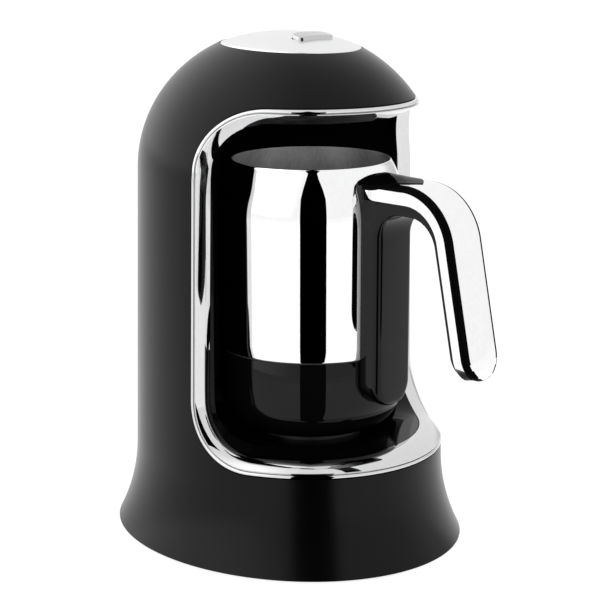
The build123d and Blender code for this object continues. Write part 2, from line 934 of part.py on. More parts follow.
outer_start, outer_middle, outer_end = vessel_line(0)
inner_start, inner_middle, inner_end = vessel_line(-pot_wall)
with BuildPart() as pot_body:
    with BuildSketch(section_plane):
        with BuildLine():
            Polyline(
                (0, pot_floor_height),
                (pot_spigot_radius, pot_floor_height),
                (pot_spigot_radius, pot_seam_height),
                (pot_radius, pot_seam_height),
                outer_start,
            )
            ThreePointArc(outer_start, outer_middle, outer_end)
            Line(outer_end, inner_end)
            ThreePointArc(inner_end, inner_middle, inner_start)
            Polyline(
                inner_start,
                (pot_radius - pot_wall, pot_seam_height + pot_wall),
                (pot_spigot_radius - pot_wall, pot_seam_height + pot_wall),
                (pot_spigot_radius - pot_wall, pot_floor_height + pot_wall),
                (0, pot_floor_height + pot_wall),
                (0, pot_floor_height),
            )
        make_face()
    revolve(axis=pot_axis)
finish(pot_body, "pot_body")

seam_low = pot_seam_height - seal_thickness
with BuildPart() as base_seal:
    with BuildSketch(pot_level(seam_low)):
        Circle(base_radius - foot_gap)
        Circle(pot_spigot_radius + foot_gap, mode=Mode.SUBTRACT)
    extrude(amount=seal_thickness)
finish(base_seal, "base_seal")

# The base is a cup round the heater, open in the middle for the plug
floor_top = base_height + base_wall
with BuildPart() as pot_base:
    with BuildSketch(section_plane):
        with BuildLine():
            outside = FilletPolyline(
                (base_hole_radius, base_height),
                (base_radius, base_height),
                (base_radius, seam_low),
                radius=base_corner,
            )
            inside = FilletPolyline(
                (base_hole_radius, floor_top),
                (base_radius - base_wall, floor_top),
                (base_radius - base_wall, seam_low),
                radius=base_corner - base_wall,
            )
            Line(outside @ 0, inside @ 0)
            Line(outside @ 1, inside @ 1)
        make_face()
    revolve(axis=pot_axis)
    with BuildSketch(pot_level(floor_top)):
        with PolarLocations(stud_circle, stud_count, start_angle=90):
            Circle(head_radius + head_gap + pot_wall)
    extrude(amount=stud_low - floor_top)
    with BuildSketch(pot_level(base_height)):
        with PolarLocations(stud_circle, stud_count, start_angle=90):
            Circle(screw_radius + screw_hole_gap)
    extrude(amount=stud_low - base_height, mode=Mode.SUBTRACT)
    with BuildSketch(pot_level(base_height)):
        with PolarLocations(stud_circle, stud_count, start_angle=90):
            Circle(head_radius + head_gap)
    extrude(amount=head_height + 2 * head_gap, mode=Mode.SUBTRACT)
finish(pot_base, "pot_base")

pot_screw_seat = base_height + head_height + 2 * head_gap
with BuildPart() as pot_base_screws:
    with BuildSketch(pot_level(pot_screw_seat)):
        with PolarLocations(stud_circle, stud_count, start_angle=90):
            Circle(head_radius)
    extrude(amount=-head_height)
    with BuildSketch(pot_level(pot_screw_seat)):
        with PolarLocations(stud_circle, stud_count, start_angle=90):
            Circle(screw_radius - foot_gap)
    extrude(amount=boss_screw_depth)
finish(pot_base_screws, "pot_base_screws")

with BuildPart() as heater_plate:
    with BuildSketch(pot_level(pot_body_low)):
        Circle(heater_radius)
    extrude(amount=heater_thickness)
    with BuildSketch(pot_level(stud_low)):
        with PolarLocations(stud_circle, stud_count, start_angle=90):
            Circle(stud_radius)
    extrude(amount=pot_body_low - stud_low)
    with BuildSketch(pot_level(stud_low)):
        with PolarLocations(stud_circle, stud_count, start_angle=90):
            Circle(screw_radius)
    extrude(amount=boss_screw_depth, mode=Mode.SUBTRACT)
finish(heater_plate, "heater_plate")

with BuildPart() as heating_element:
    with BuildSketch(section_plane):
        with Locations((element_ring_radius, pot_body_low - element_radius - spring_seat_gap)):
            Circle(element_radius)
    revolve(axis=pot_axis, revolution_arc=element_sweep)
finish(heating_element, "heating_element")

with BuildPart() as thermostat:
    with BuildSketch(pot_level(plug_top)):
        Circle(thermostat_radius)
    extrude(amount=pot_body_low - plug_top)
finish(thermostat, "thermostat")

with BuildPart() as thermal_fuse:
    with BuildSketch(Plane.YZ.offset(-fuse_length / 2)):
        with Locations((pot_y + fuse_offset, pot_body_low - fuse_radius - spring_seat_gap)):
            Circle(fuse_radius)
    extrude(amount=fuse_length)
finish(thermal_fuse, "thermal_fuse")

plug_ceiling = plug_top - plug_roof
with BuildPart() as plug_body:
    add(
        ring_solid(
            (
                (tower_flange_radius + plug_gap, plug_bottom),
                (plug_radius, plug_bottom),
                (plug_radius, floor_top),
                (plug_flange_radius, floor_top),
                (plug_flange_radius, floor_top + plug_flange),
                (plug_radius, floor_top + plug_flange),
                (plug_radius, plug_top),
                (0, plug_top),
                (0, plug_ceiling),
                (tower_radius + plug_gap, plug_ceiling),
                (tower_radius + plug_gap, socket_top + tower_flange + plug_gap),
                (tower_flange_radius + plug_gap, socket_top + tower_flange + plug_gap),
            )
        )
    )
    with BuildSketch(pot_level(plug_ceiling)):
        Circle(ring_outer)
        Circle(ring_inner, mode=Mode.SUBTRACT)
        Circle(pin_radius)
    extrude(amount=plug_roof / 2, mode=Mode.SUBTRACT)
finish(plug_body, "plug_body")

with BuildPart() as plug_pin:
    with BuildSketch(pot_level(pin_bottom)):
        Circle(pin_radius)
    extrude(amount=plug_ceiling + plug_roof / 2 - pin_bottom)
finish(plug_pin, "plug_pin")

with BuildPart() as plug_ring:
    with BuildSketch(pot_level(ring_bottom)):
        Circle(ring_outer)
        Circle(ring_inner, mode=Mode.SUBTRACT)
    extrude(amount=plug_ceiling + plug_roof / 2 - ring_bottom)
finish(plug_ring, "plug_ring")

# ---------------------------------------------------------------- handle
def slant_point(centre, radius):
    """Where an arc about centre runs into the grip's slanted stretch."""
    return (centre[0] + radius * slant_cos, centre[1] + radius * slant_sin)


def slant_end(start, height):
    """The point below start, along the slant, at a height."""
    run = (start[1] - height) / slant_cos
    return (start[0] + run * slant_sin, height)


def arc_middle(centre, radius):
    """The middle of the arc from straight up to the grip's slanted stretch."""
    angle = radians((90 + grip_slant) / 2)
    return (centre[0] + radius * cos(angle), centre[1] + radius * sin(angle))


def grip_band(outer_centre, outer_radius, inner_centre, inner_radius, start):
    """A band of the arm and grip between two arcs, from start to the tip, cut round at the tip."""
    outer_tangent = slant_point(outer_centre, outer_radius)
    inner_tangent = slant_point(inner_centre, inner_radius)
    tip = slant_end(outer_tangent, grip_tip_height)
    normal_run = (outer_tangent[0] - inner_tangent[0]) * slant_cos
    normal_run += (outer_tangent[1] - inner_tangent[1]) * slant_sin
    inner_tip = (tip[0] - normal_run * slant_cos, tip[1] - normal_run * slant_sin)
    outer_high = outer_centre[1] + outer_radius
    inner_high = inner_centre[1] + inner_radius
    with BuildPart() as band:
        with BuildSketch(handle_plane):
            with BuildLine():
                Line((start, outer_high), (outer_centre[0], outer_high))
                ThreePointArc(
                    (outer_centre[0], outer_high), arc_middle(outer_centre, outer_radius), outer_tangent
                )
                Polyline(outer_tangent, tip, inner_tip, inner_tangent)
                ThreePointArc(
                    inner_tangent, arc_middle(inner_centre, inner_radius), (inner_centre[0], inner_high)
                )
                Polyline((inner_centre[0], inner_high), (start, inner_high), (start, outer_high))
            make_face()
        extrude(amount=handle_width / 2, both=True)
        face_plane = Plane(
            origin=handle_plane.from_local_coords((tip[0], tip[1], 0)),
            x_dir=tangent,
            z_dir=(radial[0] * slant_cos, radial[1] * slant_cos, slant_sin),
        )
        with BuildSketch(face_plane):
            with Locations((0, handle_width / 2)):
                Circle(handle_width / 2)
            with Locations((0, handle_width / 2)):
                Rectangle(handle_width, reach, align=(Align.CENTER, Align.MIN))
        extrude(amount=reach, both=True, mode=Mode.INTERSECT)
    return band.part


grip_outer_centre = (grip_outer_centre_reach, grip_top - grip_outer_radius)
grip_edge_centre = (grip_edge_centre_reach, grip_edge_height - grip_edge_radius)
grip_inner_centre = (grip_inner_centre_reach, arm_underside - grip_inner_radius)


def leaf_solid(growth, low, high):
    """The pointed leaf shape on the root of the grip, from the pot outwards, grown by growth."""
    half = inlay_width / 2 + growth
    middle = (half * inlay_fullness, -(inlay_start + inlay_tip) / 2)
    tip = (0, -inlay_tip - growth)
    with BuildPart() as leaf:
        with BuildSketch(pot_level(low)):
            with BuildLine():
                side = ThreePointArc((half, -inlay_start), middle, tip)
                mirror(side, about=Plane.YZ)
                Line((-half, -inlay_start), (half, -inlay_start))
            make_face()
        extrude(amount=high - low)
    return leaf.part


inlay_low = grip_top + inlay_proud - inlay_thickness
with BuildPart() as handle_inlay:
    add(leaf_solid(0, inlay_low, grip_top + inlay_proud))
finish(handle_inlay, "handle_inlay")

# One screw under the inlay holds grip and spine down on the bracket's lug
handle_screw_seat = inlay_low - head_height - rib_gap
with BuildPart() as handle_screw:
    with BuildSketch(pot_level(handle_screw_seat)):
        with Locations((0, -handle_screw_reach)):
            Circle(head_radius)
    extrude(amount=head_height)
    with BuildSketch(pot_level(handle_screw_seat)):
        with Locations((0, -handle_screw_reach)):
            Circle(screw_radius - foot_gap)
    extrude(amount=bracket_high - lug_height - handle_screw_seat)
finish(handle_screw, "handle_screw")

with BuildPart() as handle_grip:
    add(
        grip_band(
            grip_outer_centre, grip_outer_radius, grip_edge_centre, grip_edge_radius, grip_root_reach
        )
    )
    add(leaf_solid(handle_gap, inlay_low, grip_top + inlay_thickness), mode=Mode.SUBTRACT)
    with BuildSketch(pot_level(handle_screw_seat)):
        with Locations((0, -handle_screw_reach)):
            Circle(head_radius + head_gap)
    extrude(amount=reveal, mode=Mode.SUBTRACT)
    with BuildSketch(pot_level(grip_edge_height)):
        with Locations((0, -handle_screw_reach)):
            Circle(screw_radius + screw_hole_gap)
    extrude(amount=reveal, mode=Mode.SUBTRACT)
finish(handle_grip, "handle_grip")

with BuildPart() as vessel_space:
    with BuildSketch(section_plane):
        with BuildLine():
            grown_start, grown_middle, grown_end = vessel_line(handle_gap)
            Polyline(
                (0, base_height),
                (base_radius + handle_gap, base_height),
                (base_radius + handle_gap, pot_seam_height - handle_gap),
                (pot_radius + handle_gap, pot_seam_height - handle_gap),
                grown_start,
            )
            ThreePointArc(grown_start, grown_middle, grown_end)
            Polyline(grown_end, (0, pot_mouth_height), (0, base_height))
        make_face()
    revolve(axis=pot_axis)

with BuildPart() as handle_bracket:
    with BuildSketch(pot_level(bracket_low)):
        Circle(pot_radius + bracket_thickness)
        Circle(pot_radius, mode=Mode.SUBTRACT)
    extrude(amount=bracket_high - bracket_low)
    with BuildSketch(pot_level(bracket_low)):
        with BuildLine():
            Polyline(
                (0, 0),
                (-reach * sin(radians(bracket_half_angle)), -reach * cos(radians(bracket_half_angle))),
                (reach * sin(radians(bracket_half_angle)), -reach * cos(radians(bracket_half_angle))),
                close=True,
            )
        make_face()
    extrude(amount=bracket_high - bracket_low, mode=Mode.INTERSECT)
    with BuildSketch(pot_level(bracket_high - lug_height)):
        with Locations((0, -(pot_radius + bracket_thickness / 2))):
            Rectangle(
                lug_width, lug_reach - pot_radius - bracket_thickness / 2, align=(Align.CENTER, Align.MAX)
            )
    extrude(amount=lug_height)
    with BuildSketch(pot_level(bracket_high)):
        with Locations((0, -handle_screw_reach)):
            Circle(screw_radius)
    extrude(amount=-lug_height, mode=Mode.SUBTRACT)
finish(handle_bracket, "handle_bracket")

# Spine: a rounded bar down the side of the pot, round at its foot, with the arm's black underside
with BuildPart() as spine_bar:
    with BuildSketch(pot_level(spine_low)):
        with BuildLine():
            bar = FilletPolyline(
                (-handle_width / 2, -spine_inner_reach),
                (-handle_width / 2, -spine_reach),
                (handle_width / 2, -spine_reach),
                (handle_width / 2, -spine_inner_reach),
                radius=spine_corner,
            )
            Line(bar @ 1, bar @ 0)
        make_face()
    extrude(amount=spine_high - spine_low)
    with BuildSketch(handle_front):
        with Locations((0, spine_low + handle_width / 2)):
            Circle(handle_width / 2)
        with Locations((0, spine_low + handle_width / 2)):
            Rectangle(handle_width, reach, align=(Align.CENTER, Align.MIN))
    extrude(amount=reach, mode=Mode.INTERSECT)
with BuildPart() as grip_space:
    with BuildSketch(handle_plane):
        with Locations((grip_root_reach, grip_edge_height)):
            Rectangle(reveal, reveal, align=(Align.MIN, Align.MIN))
    extrude(amount=handle_width, both=True)
with BuildPart() as arm_root:
    with BuildSketch(handle_plane):
        with BuildLine():
            Line((spine_reach, arm_underside), (spine_reach, arm_underside - arm_corner))
            RadiusArc(
                (spine_reach, arm_underside - arm_corner),
                (spine_reach + arm_corner, arm_underside),
                arm_corner,
            )
            Line((spine_reach + arm_corner, arm_underside), (spine_reach, arm_underside))
        make_face()
    extrude(amount=handle_width / 2 - spine_corner, both=True)
root_middle = spine_root_reach + spine_root_radius * (1 - cos(radians(45)))
with BuildPart() as root_space:
    with BuildSketch(handle_plane):
        with BuildLine():
            ThreePointArc(
                (spine_root_reach, spine_high - spine_root_radius),
                (root_middle, spine_high - spine_root_radius * (1 - sin(radians(45)))),
                (spine_root_reach + spine_root_radius, spine_high),
            )
            Polyline(
                (spine_root_reach + spine_root_radius, spine_high),
                (spine_root_reach + spine_root_radius, spine_high + reveal),
                (0, spine_high + reveal),
                (0, spine_high - spine_root_radius),
                (spine_root_reach, spine_high - spine_root_radius),
            )
        make_face()
    extrude(amount=handle_width, both=True)
with BuildPart() as handle_spine:
    add(spine_bar.part)
    add(grip_space.part, mode=Mode.SUBTRACT)
    add(root_space.part, mode=Mode.SUBTRACT)
    add(
        grip_band(
            grip_edge_centre, grip_edge_radius, grip_inner_centre, grip_inner_radius, grip_root_reach
        )
    )
    add(arm_root.part)
    add(vessel_space.part, mode=Mode.SUBTRACT)
    with BuildSketch(pot_level(bracket_low - rib_gap)):
        Circle(pot_radius + bracket_thickness + rib_gap)
        with BuildLine():
            wedge = reach * sin(radians(bracket_half_angle))
            Polyline((0, wedge), (-2 * wedge, -reach), (2 * wedge, -reach), close=True)
        make_face(mode=Mode.INTERSECT)
    extrude(amount=bracket_high - bracket_low + 2 * rib_gap, mode=Mode.SUBTRACT)
    with BuildSketch(pot_level(bracket_high - lug_height - rib_gap)):
        with Locations((0, -pot_radius)):
            Rectangle(
                lug_width + 2 * rib_gap, lug_reach - pot_radius + rib_gap, align=(Align.CENTER, Align.MAX)
            )
    extrude(amount=lug_height + 2 * rib_gap, mode=Mode.SUBTRACT)
    with BuildSketch(pot_level(bracket_high)):
        with Locations((0, -handle_screw_reach)):
            Circle(screw_radius + screw_hole_gap)
    extrude(amount=reveal, mode=Mode.SUBTRACT)
    add(leaf_solid(handle_gap, inlay_low, grip_top + inlay_thickness), mode=Mode.SUBTRACT)
finish(handle_spine, "handle_spine")
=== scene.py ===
from math import acos, cos, pi, radians, sin, sqrt

import bmesh
import bpy
from mathutils import Matrix, Vector


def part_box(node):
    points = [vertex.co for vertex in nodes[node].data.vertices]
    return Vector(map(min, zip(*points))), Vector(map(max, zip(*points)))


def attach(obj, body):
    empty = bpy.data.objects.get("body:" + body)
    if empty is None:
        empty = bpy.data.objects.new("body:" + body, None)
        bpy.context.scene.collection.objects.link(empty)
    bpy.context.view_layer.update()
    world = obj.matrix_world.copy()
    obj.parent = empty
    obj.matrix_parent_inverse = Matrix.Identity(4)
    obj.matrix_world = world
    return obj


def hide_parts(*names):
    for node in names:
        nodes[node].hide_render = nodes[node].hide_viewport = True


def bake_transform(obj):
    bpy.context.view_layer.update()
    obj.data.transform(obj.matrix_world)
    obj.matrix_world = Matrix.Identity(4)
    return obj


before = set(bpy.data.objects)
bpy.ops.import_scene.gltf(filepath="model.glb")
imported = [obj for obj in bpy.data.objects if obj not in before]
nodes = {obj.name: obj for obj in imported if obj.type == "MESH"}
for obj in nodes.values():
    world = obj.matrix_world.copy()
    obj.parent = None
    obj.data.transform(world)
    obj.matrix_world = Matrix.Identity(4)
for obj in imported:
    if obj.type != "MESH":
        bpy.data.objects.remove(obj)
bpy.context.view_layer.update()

scene = bpy.context.scene

# -------------------------------- studio
# A long lens looks down a little on the machine's left front corner. Lengths are in millimetres in
# the whole script, and a finished piece is brought to metres at the end.
MILLIMETRE = 0.001
LENS = 106.33
CAMERA_PLACE = (-564.6, -686.6, 324.85)
CAMERA_HEADING = radians(39.858)
CAMERA_DIP = radians(13.077)

camera = bpy.data.objects.new("camera", bpy.data.cameras.new("camera"))
camera.data.lens = LENS
camera.data.sensor_width = 36.0
camera.location = Vector(CAMERA_PLACE) * MILLIMETRE
gaze = Vector(
    (sin(CAMERA_HEADING) * cos(CAMERA_DIP), cos(CAMERA_HEADING) * cos(CAMERA_DIP), -sin(CAMERA_DIP))
)
camera.rotation_euler = gaze.to_track_quat("-Z", "Y").to_euler()
scene.collection.objects.link(camera)
scene.camera = camera
scene.view_settings.view_transform = "Standard"


def new_node(tree, kind, inputs=None, **settings):
    """A new node in a node tree, with its settings, and its inputs' values by name or number."""
    node = tree.nodes.new(kind)
    for setting, value in settings.items():
        setattr(node, setting, value)
    for socket, value in (inputs or {}).items():
        node.inputs[socket].default_value = value
    return node


def link(tree, *runs):
    """Links in a node tree, each from one node's output to another node's input."""
    for source, output, target, socket in runs:
        tree.links.new(source.outputs[output], target.inputs[socket])


# The room is white where the eye and the polished metal see it, brightest on the left of the front
# corner and greyer behind on its right, and a soft grey where it lights
WHITE = (1.0, 1.0, 1.0, 1.0)
ROOM_LIGHT = 0.72
LEFT_BRIGHTNESS = 1.8
LEFT_START = 0.3
RIGHT_BACK_BRIGHTNESS = 0.62
RIGHT_BACK_START = 0.76
FULL_SHADE = 0.9
SHADE_TILT = 0.35
room = bpy.data.worlds.new("room")
room.use_nodes = True
scene.world = room
walls = room.node_tree
walls.nodes.clear()
rays = new_node(walls, "ShaderNodeLightPath")
way = new_node(walls, "ShaderNodeTexCoord")
seen = new_node(walls, "ShaderNodeMath", operation="MAXIMUM")
seen_through = new_node(walls, "ShaderNodeMath", operation="MAXIMUM")
lit = new_node(walls, "ShaderNodeBackground", {"Color": WHITE, "Strength": ROOM_LIGHT})
white = new_node(walls, "ShaderNodeBackground", {"Color": WHITE})
brightness = new_node(walls, "ShaderNodeMath", operation="MULTIPLY")
polished = new_node(walls, "ShaderNodeMix", {"A": 1.0}, data_type="FLOAT")
either = new_node(walls, "ShaderNodeMixShader")
sky = new_node(walls, "ShaderNodeOutputWorld")
turned_back = CAMERA_HEADING + radians(45.0)
leftward = (-cos(CAMERA_HEADING), sin(CAMERA_HEADING), SHADE_TILT)
right_back = (sin(turned_back), cos(turned_back), -SHADE_TILT)
for turn, heading, start, there in (
    (0, leftward, LEFT_START, LEFT_BRIGHTNESS),
    (1, right_back, RIGHT_BACK_START, RIGHT_BACK_BRIGHTNESS),
):
    facing = new_node(
        walls, "ShaderNodeVectorMath", {1: Vector(heading).normalized()}, operation="DOT_PRODUCT"
    )
    limits = {"From Min": start, "From Max": FULL_SHADE, "To Min": 1.0, "To Max": there}
    shade = new_node(walls, "ShaderNodeMapRange", limits, interpolation_type="SMOOTHSTEP")
    link(
        walls,
        (way, "Generated", facing, 0),
        (facing, "Value", shade, "Value"),
        (shade, "Result", brightness, turn),
    )
link(
    walls,
    (rays, "Is Glossy Ray", polished, "Factor"),
    (brightness, "Value", polished, "B"),
    (polished, "Result", white, "Strength"),
    (rays, "Is Camera Ray", seen, 0),
    (rays, "Is Glossy Ray", seen, 1),
    (seen, "Value", seen_through, 0),
    (rays, "Is Transmission Ray", seen_through, 1),
    (seen_through, "Value", either, "Fac"),
    (lit, "Background", either, 1),
    (white, "Background", either, 2),
    (either, "Shader", sky, "Surface"),
)

# Two big soft lamps, from the left and from above on the right, and a low one that lights the niche
LAMP_AIM = Vector((0, 0, 120))
for name, place, size, power in (
    ("left_lamp", (-1500.0, -500.0, 1300.0), 1200.0, 9.0),
    ("high_lamp", (700.0, -900.0, 1900.0), 1400.0, 9.0),
    ("low_lamp", (-900.0, -1350.0, 460.0), 420.0, 9.0),
):
    lamp = bpy.data.objects.new(name, bpy.data.lights.new(name, "AREA"))
    lamp.data.shape = "SQUARE"
    lamp.data.size = size * MILLIMETRE
    lamp.data.energy = power
    lamp.location = Vector(place) * MILLIMETRE
    lamp.rotation_euler = (LAMP_AIM - Vector(place)).to_track_quat("-Z", "Y").to_euler()
    lamp.visible_glossy = False
    scene.collection.objects.link(lamp)


def plain_material(name, inputs):
    """A new material with one Principled shader: the material, its node tree and that shader."""
    material = bpy.data.materials.new(name)
    material.use_nodes = True
    tree = material.node_tree
    tree.nodes.clear()
    shader = new_node(tree, "ShaderNodeBsdfPrincipled", inputs)
    output = new_node(tree, "ShaderNodeOutputMaterial")
    link(tree, (shader, "BSDF", output, "Surface"))
    return material, tree, shader


# Pale floor: white where the eye and the metal see it, with the object's shadow on it
FLOOR_SIZE = 60000.0
FLOOR_GLOW = 0.7
FLOOR_BRIGHTNESS = 1.2
floor_finish, floor_tree, floor_shader = plain_material(
    "pale_floor",
    {"Base Color": (0.93, 0.93, 0.93, 1.0), "Roughness": 0.9, "Specular IOR Level": 0.1},
)
floor_rays = new_node(floor_tree, "ShaderNodeLightPath")
floor_seen = new_node(floor_tree, "ShaderNodeMath", operation="MAXIMUM")
floor_share = new_node(floor_tree, "ShaderNodeMath", {1: FLOOR_GLOW}, operation="MULTIPLY")
floor_light = new_node(
    floor_tree, "ShaderNodeEmission", {"Color": WHITE, "Strength": FLOOR_BRIGHTNESS}
)
floor_mix = new_node(floor_tree, "ShaderNodeMixShader")
link(
    floor_tree,
    (floor_rays, "Is Camera Ray", floor_seen, 0),
    (floor_rays, "Is Glossy Ray", floor_seen, 1),
    (floor_seen, "Value", floor_share, 0),
    (floor_share, "Value", floor_mix, "Fac"),
    (floor_shader, "BSDF", floor_mix, 1),
    (floor_light, "Emission", floor_mix, 2),
    (floor_mix, "Shader", floor_tree.nodes["Material Output"], "Surface"),
)


def object_from(mesh, name):
    """A finished bmesh as an object of that name at the origin, brought from millimetres to metres."""
    bmesh.ops.scale(mesh, vec=(MILLIMETRE, MILLIMETRE, MILLIMETRE), verts=mesh.verts)
    data = bpy.data.meshes.new(name)
    mesh.to_mesh(data)
    mesh.free()
    piece = bpy.data.objects.new(name, data)
    scene.collection.objects.link(piece)
    return piece


floor_mesh = bmesh.new()
bmesh.ops.create_grid(floor_mesh, x_segments=1, y_segments=1, size=FLOOR_SIZE / 2)
floor = object_from(floor_mesh, "floor")
floor.data.materials.append(floor_finish)

# Two black cards that only the polished surfaces see. A tall one stands in front of the pot, and one
# lies on the floor before the foot: they give metal and plastic their dark stripe.
POT_Y = -18.9
FRONT_CARD = 300.0
FRONT_OUTLINE = (
    (-66.0, 0.0), (91.0, 0.0), (91.0, 280.0), (79.0, 343.0), (58.0, 427.0), (45.0, 530.0),
    (12.0, 780.0), (-22.0, 530.0), (-39.0, 427.0), (-55.0, 343.0), (-66.0, 280.0),
)
FLOOR_CARD_START = 105.0
FLOOR_CARD_NEAR = (-22.6, 23.9)
FLOOR_CARD_LIFT = 0.5
card_finish, _, _ = plain_material(
    "black_card", {"Base Color": (0.0, 0.0, 0.0, 1.0), "Roughness": 1.0, "Specular IOR Level": 0.0}
)


def card_corner(out, across, height):
    """A point of a card, by how far it lies out from the pot towards the front corner, aside and up."""
    towards = Vector((-sin(CAMERA_HEADING), -cos(CAMERA_HEADING), 0))
    aside = Vector((cos(CAMERA_HEADING), -sin(CAMERA_HEADING), 0))
    return Vector((0, POT_Y, height)) + towards * out + aside * across


def black_card(name, corners):
    """A flat black sheet with those corners, that shows in reflections only."""
    sheet = bmesh.new()
    sheet.faces.new([sheet.verts.new(corner) for corner in corners])
    card = object_from(sheet, name)
    card.data.materials.append(card_finish)
    card.visible_camera = card.visible_diffuse = card.visible_shadow = False


black_card("front_card", [card_corner(FRONT_CARD, across, up) for across, up in FRONT_OUTLINE])
floor_corners = [(FLOOR_CARD_START, across) for across in FLOOR_CARD_NEAR]
floor_corners += [(FRONT_CARD, across) for across, _ in FRONT_OUTLINE[1::-1]]
black_card("floor_card", [card_corner(out, across, FLOOR_CARD_LIFT) for out, across in floor_corners])

# -------------------------------- housing shell
# One satin black moulding: a flared foot, a column and a dome, elliptical all the way up and open in
# front. It is turned as a closed wall, drawn out front to back, and cut open to its C-shaped side view.
DEPTH_RATIO = 1.16
FOOT_HALF = 84.0
WAIST_HALF = 74.2
COLUMN_HALF = 71.4
RIM_HEIGHT = 1.0
FLARE_TOP = 44.5
DOME_START = 186.0
DOME_RISE = 71.5
SHELL_WALL = 2.6
OPENING_EDGE_Y = -13.6
OPENING_LOW = 48.5
OPENING_HIGH = 225.0
OPENING_LOW_RADIUS = 33.0
OPENING_HIGH_RADIUS = 30.0
CAP_Y = -3.0
CAP_HALF_WIDTH = 33.0
CAP_HALF_DEPTH = 38.2
CAP_GAP = 0.3
TURN_STEPS = 224
OUTLINE_STEPS = 24
MERGE_DISTANCE = 0.001
flare_height = FLARE_TOP - RIM_HEIGHT
foot_spread = FOOT_HALF - WAIST_HALF
flare_radius = (flare_height**2 + foot_spread**2) / (2 * foot_spread)


def half_width(z, inset=0.0):
    """Half the housing's width at height z, on the surface that lies inset inside the outer one."""
    if z < FLARE_TOP:
        return WAIST_HALF + flare_radius - sqrt((flare_radius + inset) ** 2 - (FLARE_TOP - z) ** 2)
    if z < DOME_START:
        share = (z - FLARE_TOP) / (DOME_START - FLARE_TOP)
        return WAIST_HALF - inset + (COLUMN_HALF - WAIST_HALF) * share
    rise = (z - DOME_START) / (DOME_RISE - inset)
    return (COLUMN_HALF - inset) * sqrt(1 - rise**2)


def quarter(steps):
    """The angles of a quarter turn, in equal steps."""
    return [pi / 2 * k / steps for k in range(steps + 1)]


def outline_points(inset):
    """Points up the housing's outline, from its foot to its crown, as (reach, height)."""
    column_height = DOME_START - FLARE_TOP
    flare = [RIM_HEIGHT + flare_height * k / OUTLINE_STEPS for k in range(OUTLINE_STEPS)]
    column = [FLARE_TOP + column_height * k / OUTLINE_STEPS for k in range(OUTLINE_STEPS)]
    points = [(half_width(z, inset), z) for z in flare + column]
    for angle in quarter(2 * OUTLINE_STEPS)[:-1]:
        reach = (COLUMN_HALF - inset) * cos(angle)
        points.append((reach, DOME_START + (DOME_RISE - inset) * sin(angle)))
    return points + [(0.0, DOME_START + DOME_RISE - inset)]


def turned(outline, steps):
    """A mesh turned about the Z axis from a closed outline of (reach, height)."""
    mesh = bmesh.new()
    corners = [mesh.verts.new((reach, 0, height)) for reach, height in outline]
    for corner, following in zip(corners, corners[1:] + corners[:1]):
        if corner.co.x or following.co.x:
            mesh.edges.new((corner, following))
    profile = mesh.verts[:] + mesh.edges[:]
    bmesh.ops.spin(mesh, geom=profile, axis=(0, 0, 1), angle=2 * pi, steps=steps, use_merge=True)
    bmesh.ops.remove_doubles(mesh, verts=mesh.verts, dist=MERGE_DISTANCE)
    bmesh.ops.recalc_face_normals(mesh, faces=mesh.faces)
    return mesh


def extruded(outline, length):
    """A mesh with a flat outline of points, extruded along the vector length."""
    mesh = bmesh.new()
    face = mesh.faces.new([mesh.verts.new(point) for point in outline])
    grown = bmesh.ops.extrude_face_region(mesh, geom=[face])["geom"]
    corners = [part for part in grown if isinstance(part, bmesh.types.BMVert)]
    bmesh.ops.translate(mesh, verts=corners, vec=length)
    bmesh.ops.recalc_face_normals(mesh, faces=mesh.faces)
    return mesh


def cut_away(piece, *cutters, operation="DIFFERENCE"):
    """Cut the cutters' space out of a piece, or join them to it, and drop the cutters."""
    for cutter in cutters:
        saw = piece.modifiers.new("saw", "BOOLEAN")
        saw.operation = operation
        saw.solver = "EXACT"
        saw.object = cutter
    bpy.context.view_layer.update()
    drawn = bpy.context.evaluated_depsgraph_get()
    piece.data = bpy.data.meshes.new_from_object(piece.evaluated_get(drawn))
    piece.modifiers.clear()
    for cutter in cutters:
        bpy.data.objects.remove(cutter)


def dress(piece, finish, body, slot, *replaced, crease=30.0):
    """Smooth a finished piece up to its creases, give it its finish and body, and hide the CAD nodes it
    replaces. The slot is not used.
    """
    if piece.data.materials:
        piece.data.materials.clear()
    piece.data.materials.append(finish)
    piece.data.shade_smooth()
    piece.data.set_sharp_from_angle(angle=radians(crease))
    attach(piece, body)
    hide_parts(*replaced)


